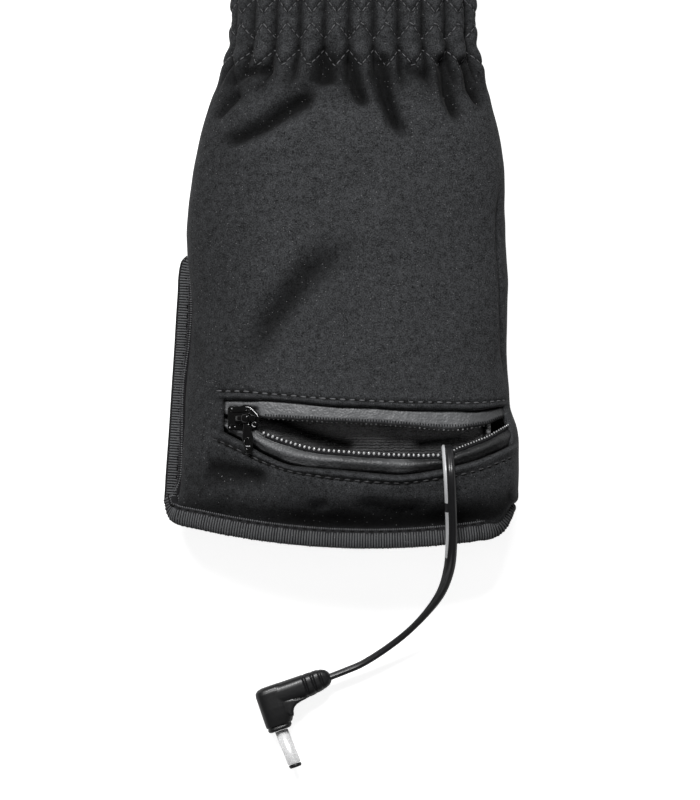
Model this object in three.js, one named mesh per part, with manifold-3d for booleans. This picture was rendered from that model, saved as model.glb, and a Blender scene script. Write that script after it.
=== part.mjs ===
// A heated glove for the right hand, lying palm up: a softshell hand, an elastic wrist and a
// gauntlet cuff with a zipped battery pocket, from which a short power lead comes out.
// Millimetres. +X points to the thumb side, +Y to the fingertips, +Z up from the surface below.
import * as THREE from "three";
import { mergeVertices } from "three/addons/utils/BufferGeometryUtils.js";
import Module from "manifold-3d";

const { sin, cos, PI, abs, sign, max, min, exp, sqrt } = Math;
const wasm = await Module();
wasm.setup();

// The tables below count x from the middle of the cuff and y from the lowest point of the hem.
// The glove's own origin is under the middle of its outline, this far from there.
const origin = { x: 17.405, y: 166.445 };

const wall = 1.6; // softshell with its fleece back
const gap = 0.3; // between pieces that are sewn or pressed together
const palmPower = 2.2; // roundness of a section's upper half, 2 being an ellipse
const backPower = 3; // its lower half is squarer, where it rests

// The body from hem to knuckles, a row for each section across it: its sides, its back (low) and
// palm (high), and the height of its side seams (mid).
const sections = [
  { y: 0, left: -42.6, right: 43.6, low: 0.7, high: 26, mid: 13 },
  { y: 10, left: -42.6, right: 45.6, low: -0.6, high: 31, mid: 13.5 },
  { y: 24, left: -41.9, right: 46, low: -0.8, high: 33.2, mid: 14 },
  { y: 37, left: -40.9, right: 43.6, low: -0.8, high: 33.6, mid: 14 },
  { y: 62, left: -39.4, right: 43.2, low: -0.8, high: 33, mid: 14 },
  { y: 84, left: -40.6, right: 42.8, low: -0.8, high: 32.6, mid: 14 },
  { y: 104, left: -37.7, right: 41.6, low: -0.6, high: 32, mid: 14.4 },
  { y: 117, left: -34, right: 38.6, low: 0.6, high: 29.6, mid: 14.8 },
  { y: 126, left: -29.9, right: 35.6, low: 2.4, high: 27, mid: 15 },
  { y: 134, left: -28.2, right: 34.2, low: 2.4, high: 26.6, mid: 15 },
  { y: 160, left: -28.6, right: 35, low: 2.4, high: 27, mid: 15 },
  { y: 172, left: -34, right: 40, low: 0.4, high: 31, mid: 15.2 },
  { y: 195, left: -39.6, right: 45, low: -0.8, high: 34, mid: 15.4 },
  { y: 222, left: -42.6, right: 46, low: -0.8, high: 32.4, mid: 15 },
  { y: 238, left: -43.6, right: 46, low: -0.2, high: 29.6, mid: 14.6 },
  { y: 250, left: -43.8, right: 46, low: 2.6, high: 26.4, mid: 14.4 },
  { y: 257, left: -42, right: 44.6, low: 5.6, high: 23.2, mid: 14.4 },
  { y: 290, left: -43, right: 45.6, low: 6, high: 24, mid: 16 },
  { y: 334, left: -43, right: 45.6, low: 12, high: 28, mid: 20.5 },
];

// Each finger from its root inside the palm to its tip, with its width at both ends.
const fingers = [
  { name: "thumb", rootX: 31, rootY: 186, tipX: 80.5, tipY: 250, rootWidth: 31, tipWidth: 22 },
  { name: "index", rootX: 33, rootY: 230, tipX: 43, tipY: 321, rootWidth: 23, tipWidth: 20.4 },
  { name: "middle", rootX: 12, rootY: 232, tipX: 15.2, tipY: 333, rootWidth: 23.4, tipWidth: 20.8 },
  { name: "ring", rootX: -10.6, rootY: 231, tipX: -13.8, tipY: 325, rootWidth: 24, tipWidth: 20 },
  { name: "little", rootX: -32.2, rootY: 226, tipX: -42, tipY: 303, rootWidth: 22.8, tipWidth: 18.4 },
];
const fingerDepth = 0.93; // a finger's thickness over its width
const knuckleEnd = 257; // the palm closes here, inside the finger roots
const thumbSeam = 46; // from the thumb's root to the seam where it leaves the palm
const thumbSpace = { below: 20, above: 13.4, reach: 95 }; // room kept for it, clear of the index finger
const cutting = { wide: 120, low: -20, high: 80, from: 150, to: 350 }; // how far cutting blocks reach

// Cuff
const cuffTop = 126.7;
const ventTop = 76.5; // the slit on the little finger's side runs from here to the hem
const hemDip = 0.0025; // the hem dips by this much times the square of the distance from hemLowX
const hemLowX = 7.5;
const hemBackRise = 4; // the hem is this much higher at the back of the cuff
const hemCorner = { from: 37.5, reach: 7, rise: 5.8 }; // the hem turns up at the thumb side's corner
const hemFade = 22; // the hem's curve fades out this far up
const seamFade = 0.35; // lip and folds fade out by this much of a turn's sine from the side seams
const binding = { width: 4.9, thickness: 3, clearance: 0.05, fadeFrom: 6, fadeTo: 16 };
const hemEnds = { points: [[-42.6, 9.9], [-43.7, 12.4]], apart: 2.6 }; // at the vent's lower corner
const ventBinding = { width: 3.8, thickness: 2.4, bottom: 15.4, edge: 0.4, roundedFrom: 69.5 };

// The lower lip of the pocket sags open and stands proud.
const lip = { y: 19, reach: 9, proud: 3.6, fromX: -27, toX: -6 };

// Folds in the front of the cuff, each a valley from one point to another.
const folds = [
  { x0: -7.8, y0: 116.7, x1: -32.2, y1: 104.8, halfWidth: 2.2, depth: 2.6 },
  { x0: -13.3, y0: 118.8, x1: -32, y1: 109.5, halfWidth: 1.9, depth: 1.2 },
  { x0: -18, y0: 124.3, x1: -27, y1: 123, halfWidth: 1.6, depth: 1.6 },
  { x0: -2, y0: 124, x1: -4.2, y1: 118.6, halfWidth: 2.6, depth: 2.2 },
  { x0: 2.4, y0: 126, x1: 7.4, y1: 113.6, halfWidth: 1.9, depth: 1.8 },
  { x0: 9.9, y0: 126.6, x1: 12.6, y1: 113.4, halfWidth: 2.1, depth: 2.4 },
  { x0: 12.6, y0: 113.4, x1: 19.6, y1: 105.4, halfWidth: 2.3, depth: 2.2 },
  { x0: 19.4, y0: 125, x1: 21.8, y1: 120.6, halfWidth: 2.3, depth: 1.8 },
  { x0: 27.4, y0: 124.4, x1: 31.2, y1: 110.4, halfWidth: 2.1, depth: 1.8 },
  { x0: 33.8, y0: 125, x1: 36, y1: 114.4, halfWidth: 1.8, depth: 1.5 },
  { x0: 2.4, y0: 77.6, x1: -25, y1: 47.4, halfWidth: 4.6, depth: 2 },
];

// Wrist
const wristEnd = 160;
const ribs = 26; // puffs of gathered cloth round the elastic
const ribStart = PI / 2 + 0.165;
const ribHeight = 2.4;
const ribInset = 0.5;
const stitchRows = 3; // rows of stitching that pinch the puffs between the wrist's two ends
const backGather = 26; // the gathers at the back of the cuff fade out over this length

// Pocket: the edges of its window and of the two zip tapes, by x.
const pocketEdges = [
  { x: -30.6, weltUp: 37.9, tapeUp: 34.6, tapeLow: 33.2, weltLow: 29.9 },
  { x: -25, weltUp: 37.7, tapeUp: 35, tapeLow: 32.4, weltLow: 27.4 },
  { x: -20, weltUp: 37.5, tapeUp: 34, tapeLow: 29.8, weltLow: 24.6 },
  { x: -12, weltUp: 37.1, tapeUp: 33.2, tapeLow: 27.2, weltLow: 21.4 },
  { x: 0, weltUp: 36.7, tapeUp: 32.8, tapeLow: 25.4, weltLow: 20.2 },
  { x: 14, weltUp: 36.3, tapeUp: 32, tapeLow: 24.8, weltLow: 19 },
  { x: 26, weltUp: 36, tapeUp: 31.2, tapeLow: 24.8, weltLow: 20.4 },
  { x: 36, weltUp: 35.9, tapeUp: 31.8, tapeLow: 28.3, weltLow: 23.4 },
  { x: 42, weltUp: 36.6, tapeUp: 34, tapeLow: 31, weltLow: 26 },
  { x: 44.4, weltUp: 36.8, tapeUp: 34.8, tapeLow: 33.2, weltLow: 29.4 },
];
const windowEnds = [-30.6, 44.4];
const mouthEnds = [-30.4, 40.4];
const mouthSpread = 3.4; // the pouch's mouth is this much wider than the space between the tapes
const tape = { thickness: 0.8, hidden: 3, inset: wall + 0.5 };
const coilRadius = 0.75;
const coil = { fromEdge: 0.6, inset: tape.inset + tape.thickness + gap + coilRadius };
const pouch = { bottom: 11, top: 64, wall: 1, rim: 3, deepest: 10.6 };
const pouchInset = tape.inset + tape.thickness + 0.5;
const pouchSide = 0.48; // the pouch's sides, as an angle round the cuff from its side seams
const pouchMouth = { x: 4, y: 22, reachX: 44, reachY: 26 }; // where the pouch is deepest

// Zip slider
const slider = { x: -25.4, y: 33.75, length: 7.8, width: 6.2, plate: 0.9 };
const sliderPost = { x: 1.7, width: 3, depth: 1.5 };
const bridge = { bar: 0.5, span: 5, rise: 1.75, leg: 1, legDepth: 1.5, sunk: 0.1 };
const puller = { eyeBore: 0.85, eyeRadius: 1.35, eyeLength: 2.4, width: 2.8, thickness: 1, length: 8.2 };

// Power lead, from inside the pocket over its lower lip to the plug
const lead = { width: 3, thickness: 1.6, steps: 46 };
const leadRoute = [
  [26.9, 12.6, 22.4],
  [26.9, 17, 22.8],
  [26.9, 21.6, 23.2],
  [26.9, 25.4, 24.8],
  [27, 27.4, 28],
  [27.1, 26.8, 31.2],
  [27.3, 23.6, 33.4],
  [27.5, 20, 34.6],
  [27.7, 15.6, 34],
  [27.9, 11, 31.8],
  [28.1, 6, 29],
  [28.2, 0, 26],
  [27.8, -5.4, 21.8],
  [26, -11.2, 16.2],
  [22.6, -16.4, 11.6],
  [17.6, -21.8, 8],
  [11.6, -26.6, 5.6],
  [5.6, -30.2, 4.3],
  [0.9, -32.15, 4],
  [-2.5, -33.33, 4],
];

// Right-angle plug: its two arms meet at the elbow
const plug = { elbowX: -18.1, elbowY: -38.7, height: 4, turn: 19, sides: 12 };
const plugHead = { radius: 3.95, back: 3.5, front: 8.4, collar: 0.6 };
const plugArm = { radius: 3.15, end: 16.2, tipRadius: 2.2, ribsFrom: 8.2, ribs: 3, ribPitch: 2.3 };
const barrel = { radius: 1.75, bore: 0.7, from: 9.3, length: 9 };
const plugTip = { length: 0.8 };

const mix = (a, b, t) => a + (b - a) * t;
const ramp = (from, to, value) => THREE.MathUtils.smoothstep(value, from, to);

// A table's row at any place, with its columns drawn as smooth curves through the rows.
function rowAt(table, key, place) {
  const lastRow = table.length - 1;
  let i = 0;
  while (i < lastRow - 1 && table[i + 1][key] < place) i++;
  const slope = (column, at) => {
    const before = table[max(at - 1, 0)];
    const after = table[min(at + 1, lastRow)];
    return (after[column] - before[column]) / (after[key] - before[key]);
  };
  const a = table[i];
  const b = table[i + 1];
  const span = b[key] - a[key];
  const t = THREE.MathUtils.clamp((place - a[key]) / span, 0, 1);
  const row = {};
  for (const column of Object.keys(a)) {
    const straight = a[column] + (b[column] - a[column]) * (3 - 2 * t) * t * t;
    const leaving = (t ** 3 - 2 * t ** 2 + t) * slope(column, i);
    const arriving = (t ** 3 - t ** 2) * slope(column, i + 1);
    row[column] = straight + (leaving + arriving) * span;
  }
  return row;
}
const sectionAt = (y) => rowAt(sections, "y", y);
const pocketAt = (x) => rowAt(pocketEdges, "x", x);

// How far the front of the cuff stands out (lip) or sinks (folds) at a place seen from above.
function frontRelief(x, y) {
  let relief = lip.proud * exp(-(((y - lip.y) / lip.reach) ** 2)) * ramp(lip.fromX, lip.toX, x);
  for (const f of folds) {
    const along = new THREE.Vector2(f.x1 - f.x0, f.y1 - f.y0);
    const from = new THREE.Vector2(x - f.x0, y - f.y0);
    const t = THREE.MathUtils.clamp(from.dot(along) / along.lengthSq(), 0, 1);
    const away = from.sub(along.multiplyScalar(t)).length() / f.halfWidth;
    relief -= f.depth * exp(-away * away);
  }
  return relief;
}

// A point round a section. Angle 0 is the thumb side, a quarter turn the palm.
function sectionPoint(row, angle, inset) {
  const up = sin(angle);
  const power = 2 / (up >= 0 ? palmPower : backPower);
  const halfWidth = (row.right - row.left) / 2 - inset;
  const x = (row.left + row.right) / 2 + halfWidth * sign(cos(angle)) * abs(cos(angle)) ** power;
  const rise = (up >= 0 ? row.high - row.mid : row.mid - row.low) - inset;
  return { x, z: row.mid + rise * sign(up) * abs(up) ** power };
}

// The height of the cuff's front over a place, before it is inset by its wall.
function frontHeight(x, y) {
  const row = sectionAt(y);
  const share = min(abs(x - (row.left + row.right) / 2) / ((row.right - row.left) / 2), 0.999);
  return row.mid + (row.high - row.mid) * (1 - share ** palmPower) ** (1 / palmPower) + frontRelief(x, y);
}

function hemY(x, angle) {
  const corner = hemCorner.rise * max(0, (x - hemCorner.from) / hemCorner.reach) ** 2.8;
  return hemDip * (x - hemLowX) ** 2 + corner + hemBackRise * max(0, -sin(angle));
}

// A point of the cuff's cloth. The hem's curve fades out going up, and the back of the hem is
// lifted by the binding round it.
function cuffPoint(y, angle, inset) {
  const row = sectionAt(y);
  const { x, z } = sectionPoint(row, angle, inset);
  const bent = y + hemY(x, angle) * (1 - ramp(0, hemFade, y));
  if (sin(angle) >= 0) {
    const relief = frontRelief(x, bent) * ramp(0, seamFade, sin(angle));
    return new THREE.Vector3(x, bent, z + relief);
  }
  const gathered = ramp(cuffTop - backGather, cuffTop, y) * ramp(0, seamFade, -sin(angle));
  const puff = cos((angle * ribs) / 2) * gathered;
  const lift = (binding.thickness - wall) / 2 + binding.clearance;
  const underside = lift * (1 - ramp(binding.fadeFrom, binding.fadeTo, y));
  return new THREE.Vector3(x, bent, max(z - puff, underside + inset));
}

// Closed solids from points and faces, turned to face outwards.
function solidFrom(points, faces) {
  const vertProperties = new Float32Array(points.flatMap((p) => [p.x, p.y, p.z]));
  const build = (turned) =>
    new wasm.Manifold(
      new wasm.Mesh({
        numProp: 3,
        vertProperties,
        triVerts: new Uint32Array(faces.flatMap(([a, b, c]) => (turned ? [a, c, b] : [a, b, c]))),
      }),
    );
  const solid = build(false);
  return solid.volume() > 0 ? solid : build(true);
}

// The cloth between an outer and an inner grid of points. A tube's rows close on themselves.
function wallBetween(outer, inner, isTube = false) {
  const rows = outer.length;
  const columns = outer[0].length;
  const faces = [];
  const at = (side, row, column) => (side * rows + row) * columns + (column % columns);
  const quad = (a, b, c, d) => faces.push([a, b, c], [a, c, d]);
  const spans = isTube ? columns : columns - 1;
  for (let c = 0; c < spans; c++) {
    for (let r = 0; r < rows - 1; r++) {
      quad(at(0, r, c), at(0, r, c + 1), at(0, r + 1, c + 1), at(0, r + 1, c));
      quad(at(1, r + 1, c), at(1, r + 1, c + 1), at(1, r, c + 1), at(1, r, c));
    }
    quad(at(1, 0, c), at(1, 0, c + 1), at(0, 0, c + 1), at(0, 0, c));
    quad(at(0, rows - 1, c), at(0, rows - 1, c + 1), at(1, rows - 1, c + 1), at(1, rows - 1, c));
  }
  for (let r = 0; r < rows - 1 && !isTube; r++) {
    quad(at(0, r, 0), at(0, r + 1, 0), at(1, r + 1, 0), at(1, r, 0));
    quad(at(0, r + 1, spans), at(0, r, spans), at(1, r, spans), at(1, r + 1, spans));
  }
  return solidFrom([...outer.flat(), ...inner.flat()], faces);
}

// A solid skinned over closed rings of points, with its two ends fanned shut.
function loft(rings) {
  const n = rings[0].length;
  const faces = [];
  rings.slice(1).forEach((_, r) => {
    for (let i = 0; i < n; i++) {
      const j = (i + 1) % n;
      faces.push([r * n + i, r * n + j, (r + 1) * n + j], [r * n + i, (r + 1) * n + j, (r + 1) * n + i]);
    }
  });
  const centre = (ring) => ring.reduce((sum, p) => sum.add(p), new THREE.Vector3()).divideScalar(n);
  const count = rings.length * n;
  for (let i = 0; i < n; i++) {
    const j = (i + 1) % n;
    faces.push([count, j, i], [count + 1, count - n + i, count - n + j]);
  }
  return solidFrom([...rings.flat(), centre(rings[0]), centre(rings.at(-1))], faces);
}

// A flat band along a path, square to the given normals.
function ribbon(path, normals, width, thickness) {
  const rings = path.map((p, i) => {
    const ahead = path[min(i + 1, path.length - 1)].clone().sub(path[max(i - 1, 0)]).normalize();
    const side = normals[i].clone().cross(ahead).normalize();
    const up = ahead.clone().cross(side);
    const corner = (across, over) =>
      p.clone().addScaledVector(side, (across * width) / 2).addScaledVector(up, (over * thickness) / 2);
    return [[-1, 0], [-0.8, -1], [0.8, -1], [1, 0], [0.8, 1], [-0.8, 1]].map(([a, o]) => corner(a, o));
  });
  return loft(rings);
}

function solidOf(geometry) {
  geometry.deleteAttribute("normal");
  geometry.deleteAttribute("uv");
  const merged = mergeVertices(geometry, 1e-4);
  const points = [];
  const position = merged.attributes.position;
  for (let i = 0; i < position.count; i++) points.push(new THREE.Vector3().fromBufferAttribute(position, i));
  const faces = [];
  for (let i = 0; i < merged.index.count; i += 3) {
    const face = [merged.index.getX(i), merged.index.getX(i + 1), merged.index.getX(i + 2)];
    if (new Set(face).size === 3) faces.push(face);
  }
  return solidFrom(points, faces);
}

function geometryOf(solid) {
  const mesh = solid.getMesh();
  const geometry = new THREE.BufferGeometry();
  geometry.setAttribute("position", new THREE.BufferAttribute(mesh.vertProperties, mesh.numProp));
  geometry.setIndex(new THREE.BufferAttribute(mesh.triVerts, 1));
  geometry.computeVertexNormals();
  return geometry;
}

// An upright block with an outline seen from above.
function prism(outline, low, high) {
  const shape = new THREE.Shape(outline.map(([x, y]) => new THREE.Vector2(x, y)));
  const geometry = new THREE.ExtrudeGeometry(shape, { depth: high - low, bevelEnabled: false });
  return solidOf(geometry.translate(0, 0, low));
}

const materials = {
  softshell: new THREE.MeshStandardMaterial({ color: 0x3b3c3e, roughness: 0.95, metalness: 0 }),
  binding: new THREE.MeshStandardMaterial({ color: 0x38393b, roughness: 0.8, metalness: 0 }),
  lining: new THREE.MeshStandardMaterial({ color: 0x2b2b2d, roughness: 0.95, metalness: 0 }),
  zipTape: new THREE.MeshStandardMaterial({ color: 0x626366, roughness: 0.5, metalness: 0 }),
  zipCoil: new THREE.MeshStandardMaterial({ color: 0x0c0c0d, roughness: 0.3, metalness: 0 }),
  blackMetal: new THREE.MeshStandardMaterial({ color: 0x0a0a0b, roughness: 0.25, metalness: 0.4 }),
  rubber: new THREE.MeshStandardMaterial({ color: 0x1e1f20, roughness: 0.5, metalness: 0 }),
  chrome: new THREE.MeshStandardMaterial({ color: 0xd8dadd, roughness: 0.15, metalness: 1 }),
};

const glove = new THREE.Group();
glove.position.set(-origin.x, -origin.y, 0);

function addPiece(name, solid, material, group = glove) {
  const mesh = new THREE.Mesh(geometryOf(solid), material);
  mesh.name = name;
  group.add(mesh);
  return mesh;
}

// Hand: one hollow form of palm, fingers and thumb, parted along its side seams
function palmForm(inset) {
  const stations = [wristEnd + gap - (inset ? 4 : 0), 166, 176, 192, 210, 228, 240, 250, knuckleEnd - inset];
  const sides = 24;
  return loft(
    stations.map((y) => {
      const row = sectionAt(y);
      return Array.from({ length: sides }, (_, i) => {
        const { x, z } = sectionPoint(row, (i / sides) * 2 * PI, inset);
        return new THREE.Vector3(x, y, max(z, inset));
      });
    }),
  );
}

function fingerForm(finger, inset) {
  const root = new THREE.Vector2(finger.rootX, finger.rootY);
  const tip = new THREE.Vector2(finger.tipX, finger.tipY);
  const along = tip.clone().sub(root).normalize();
  const length = root.distanceTo(tip) - inset;
  const tipRadius = finger.tipWidth / 2 - inset;
  const straight = length - tipRadius;
  const stations = [0, 0.5, 1].map((t) => ({ at: t * straight, round: 1 }));
  for (const turn of [PI / 5, PI / 3, PI * 0.44])
    stations.push({ at: straight + tipRadius * sin(turn), round: cos(turn) });
  const sides = 12;
  return loft(
    stations.map(({ at, round }) => {
      const middle = root.clone().addScaledVector(along, at);
      const radius = (mix(finger.rootWidth, finger.tipWidth, min(at / straight, 1)) / 2 - inset) * round;
      return Array.from({ length: sides }, (_, i) => {
        const angle = (i / sides) * 2 * PI;
        const across = radius * cos(angle);
        const height = sectionAt(middle.y).mid + radius * fingerDepth * sin(angle);
        return new THREE.Vector3(middle.x + along.y * across, middle.y - along.x * across, height);
      });
    }),
  );
}

function handForm(inset) {
  return fingers.reduce((form, finger) => form.add(fingerForm(finger, inset)), palmForm(inset));
}

// Everything above (side 1) or below (side -1) the side seams, with half a gap taken off.
function sideOfSeams(side) {
  const { wide, low, high, from, to } = cutting;
  const far = side > 0 ? high : low;
  const steps = 11;
  const line = Array.from({ length: steps + 1 }, (_, i) => mix(from, to, i / steps));
  const seam = line.map((y) => new THREE.Vector2(y, sectionAt(y).mid + (side * gap) / 2));
  const shape = new THREE.Shape([...seam, new THREE.Vector2(to, far), new THREE.Vector2(from, far)]);
  const geometry = new THREE.ExtrudeGeometry(shape, { depth: 2 * wide, bevelEnabled: false });
  // the outline is drawn in y and z, and pushed out along x
  geometry.applyMatrix4(new THREE.Matrix4().set(0, 0, 1, -wide, 1, 0, 0, 0, 0, 1, 0, 0, 0, 0, 0, 1));
  return solidOf(geometry);
}

// The space that holds one finger past its seam with the palm, reaching back by some length.
function fingerSpace(index, reachBack) {
  const { wide, low, high, to } = cutting;
  const finger = fingers[index];
  if (finger.name === "thumb") {
    const angle = Math.atan2(finger.tipY - finger.rootY, finger.tipX - finger.rootX);
    const corner = (along, across) => [
      finger.rootX + along * cos(angle) - across * sin(angle),
      finger.rootY + along * sin(angle) + across * cos(angle),
    ];
    const seam = thumbSeam - reachBack;
    const { below, above, reach } = thumbSpace;
    const nearSeam = [corner(seam, above), corner(seam, -below)];
    return prism([...nearSeam, corner(reach, -below), corner(reach, above)], low, high);
  }
  // halfway to the finger on the given side, or clear of the hand
  const between = (other, y, side) => {
    if (!other || other.name === "thumb") return side * wide;
    const rootY = (finger.rootY + other.rootY) / 2;
    const tipY = (finger.tipY + other.tipY) / 2;
    return mix((finger.rootX + other.rootX) / 2, (finger.tipX + other.tipX) / 2, (y - rootY) / (tipY - rootY));
  };
  const seam = knuckleEnd + gap - reachBack;
  const [right, left] = [fingers[index - 1], fingers[index + 1]];
  const near = [[between(left, seam, -1), seam], [between(right, seam, 1), seam]];
  const far = [[between(right, to, 1), to], [between(left, to, -1), to]];
  return prism([...near, ...far], low, high);
}

const hand = handForm(0).subtract(handForm(wall));
const palm = fingers.reduce((rest, _, i) => rest.subtract(fingerSpace(i, gap)), hand);
addPiece("palm_panel", palm.intersect(sideOfSeams(1)), materials.softshell);
addPiece("back_panel", palm.intersect(sideOfSeams(-1)), materials.softshell);
fingers.forEach(({ name }, i) => {
  const finger = hand.intersect(fingerSpace(i, 0));
  addPiece(name + "_front", finger.intersect(sideOfSeams(1)), materials.softshell);
  addPiece(name + "_back", finger.intersect(sideOfSeams(-1)), materials.softshell);
});

// Wrist: gathered cloth over elastic, puffed in ribs between pinched rows of stitching
function wristGrid(inset) {
  const sides = ribs * 2;
  const rows = 2 * stitchRows + 1;
  return Array.from({ length: rows }, (_, r) => {
    const y = mix(cuffTop + gap, wristEnd, r / (rows - 1));
    const row = sectionAt(y);
    const pinch = r % 2 ? 1 : 0.45;
    return Array.from({ length: sides }, (_, i) => {
      const angle = ribStart + (i / sides) * 2 * PI;
      const puff = (ribHeight / 2) * pinch * cos(ribs * (angle - ribStart));
      const { x, z } = sectionPoint(row, angle, inset + ribInset - puff);
      return new THREE.Vector3(x, y, z);
    });
  });
}
addPiece("wrist_elastic", wallBetween(wristGrid(0), wristGrid(wall), true), materials.softshell);

// Cuff: a front and a back panel with their hem, vent edges and the window for the zip
const hemRowY = binding.width / 2;
function cuffGrid(rows, columns, fromAngle, toAngle, inset) {
  return rows.map((y) =>
    Array.from({ length: columns + 1 }, (_, i) => cuffPoint(y, mix(fromAngle, toAngle, i / columns), inset)),
  );
}
const seamAngle = 0.012; // keeps the two panels a gap apart at the side seams
const lowerRows = [hemRowY, 8, 12, 15.5, 19, 22.5, 26, 31, 38];
const frontRows = [...lowerRows, 47, 58, 70, 84, 97, 104, 110, 115, 120, cuffTop];
const backRows = [hemRowY, 9, 18, 34, 52, 68, 82, 96, 108, 118, cuffTop];
const frontColumns = 22;
const frontAngle = (column) => mix(PI - seamAngle, seamAngle, column / frontColumns);
const front = (inset) => cuffGrid(frontRows, frontColumns, PI - seamAngle, seamAngle, inset);
const back = (inset) => cuffGrid(backRows, 20, -seamAngle, -PI + seamAngle, inset);

// The hem binding's path: from the vent's front corner across the front, round the thumb side
// and back across the back of the cuff.
function hemPath() {
  const path = [];
  const normals = [];
  const stations = 38;
  for (let i = 0; i <= stations; i++) {
    const angle = mix(PI - 0.3, -PI + 0.3, i / stations);
    const outer = cuffPoint(hemRowY, angle, 0);
    const inner = cuffPoint(hemRowY, angle, wall);
    normals.push(outer.clone().sub(inner).normalize());
    path.push(outer.add(inner).multiplyScalar(0.5));
  }
  const mid = sectionAt(hemRowY).mid;
  // the two ends turn up round the corner of the vent, one over the other
  for (const [end, height] of [[0, mid + hemEnds.apart], [path.length - 1, mid - hemEnds.apart]]) {
    const add = end ? "push" : "unshift";
    for (const [x, y] of hemEnds.points) {
      path[add](new THREE.Vector3(x, y, height));
      normals[add](new THREE.Vector3(0, 0, end ? -1 : 1));
    }
  }
  return { path, normals };
}
const hem = hemPath();
const ribbonWith = (line, size, grow) =>
  ribbon(line.path, line.normals, size.width + 2 * grow, size.thickness + 2 * grow);

// A vent edge: a bound flange along the cuff's side, rounded off where the vent ends.
function ventGrid(side, over) {
  const { width, thickness, bottom, edge, roundedFrom } = ventBinding;
  const rows = 14;
  return Array.from({ length: rows + 1 }, (_, r) => {
    const y = mix(bottom, ventTop, sqrt(r / rows));
    const row = sectionAt(y);
    const round = sqrt(max(1 - ramp(roundedFrom, ventTop, y) ** 2, 0.02));
    return [0, 0.25, 0.75, 1].map((t) => {
      const thinner = t === 0 || t === 1 ? edge : 0;
      const height = over ? thickness + gap - thinner : gap + thinner;
      return new THREE.Vector3(row.left - gap - width * t * round, y, row.mid + side * height);
    });
  });
}
const vent = (side) => wallBetween(ventGrid(side, true), ventGrid(side, false));

// The window between the welts, and the pouch's mouth between the tapes
function windowOutline(upper, lower, fromX, toX, spread) {
  const stations = 16;
  const xs = Array.from({ length: stations + 1 }, (_, i) => mix(fromX, toX, i / stations));
  return [
    ...xs.map((x) => [x, pocketAt(x)[lower] - spread]),
    ...xs.reverse().map((x) => [x, pocketAt(x)[upper] + spread]),
  ];
}
const pocketWindow = prism(windowOutline("weltUp", "weltLow", ...windowEnds, 0), 22, 60);

const hemSpace = ribbonWith(hem, binding, gap);
const frontCloth = wallBetween(front(0), front(wall)).subtract(hemSpace).subtract(pocketWindow);
const backCloth = wallBetween(back(0), back(wall)).subtract(hemSpace);
addPiece("cuff_front", frontCloth, materials.softshell);
addPiece("cuff_back", backCloth, materials.softshell);
addPiece("hem_binding", ribbonWith(hem, binding, 0), materials.binding);
addPiece("vent_binding_front", vent(1), materials.binding);
addPiece("vent_binding_back", vent(-1), materials.binding);

// Zip: two tapes behind the welts, each with a coil under its edge
function tapeSolid(edge, outwards) {
  const layer = (inset) =>
    Array.from({ length: frontColumns - 4 }, (_, i) => {
      const angle = frontAngle(i + 2);
      const row = pocketAt(cuffPoint(30, angle, 0).x);
      const hiddenEdge = (outwards > 0 ? row.weltUp : row.weltLow) + outwards * tape.hidden;
      return [0, 0.35, 0.7, 1].map((t) => cuffPoint(mix(row[edge], hiddenEdge, t), angle, inset));
    });
  return wallBetween(layer(tape.inset), layer(tape.inset + tape.thickness));
}
function coilSolid(edge, outwards) {
  const stations = 22;
  const path = [];
  const normals = [];
  for (let i = 0; i <= stations; i++) {
    const angle = mix(coilAngles.from, coilAngles.to, i / stations);
    const y = pocketAt(cuffPoint(30, angle, 0).x)[edge] + outwards * coil.fromEdge;
    path.push(cuffPoint(y, angle, coil.inset));
    normals.push(cuffPoint(y, angle, 0).sub(cuffPoint(y, angle, wall)).normalize());
  }
  return ribbon(path, normals, 2 * coilRadius, 2 * coilRadius);
}
const coilAngles = { from: frontAngle(7.3), to: frontAngle(18.8) };
addPiece("zip_tape_upper", tapeSolid("tapeUp", 1), materials.zipTape);
addPiece("zip_tape_lower", tapeSolid("tapeLow", -1), materials.zipTape);
addPiece("zip_coil_upper", coilSolid("tapeUp", 1), materials.zipCoil);
addPiece("zip_coil_lower", coilSolid("tapeLow", -1), materials.zipCoil);

// Pouch: a flat bag under the front of the cuff, deepest under the open lip
function pouchLayer(inset, isBack) {
  const columns = 10;
  const rows = 8;
  const side = pouchSide + inset / 18;
  return Array.from({ length: rows + 1 }, (_, r) =>
    Array.from({ length: columns + 1 }, (_, c) => {
      const y = mix(pouch.bottom + inset, pouch.top - inset, r / rows);
      const { x, z } = cuffPoint(y, mix(PI - side, side, c / columns), pouchInset);
      const awayX = (x - pouchMouth.x) / pouchMouth.reachX;
      const awayY = (y - pouchMouth.y) / pouchMouth.reachY;
      const spread = awayX ** 2 + awayY ** 2;
      const deep = mix(pouch.rim, pouch.deepest, exp(-spread * spread));
      return new THREE.Vector3(x, y, isBack ? z - deep + inset : z - inset);
    }),
  );
}
const pouchForm = (inset) => wallBetween(pouchLayer(inset, false), pouchLayer(inset, true));
const mouth = prism(windowOutline("tapeUp", "tapeLow", ...mouthEnds, mouthSpread), 20, 60);
addPiece("pocket_lining", pouchForm(0).subtract(pouchForm(pouch.wall)).subtract(mouth), materials.lining);

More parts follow.
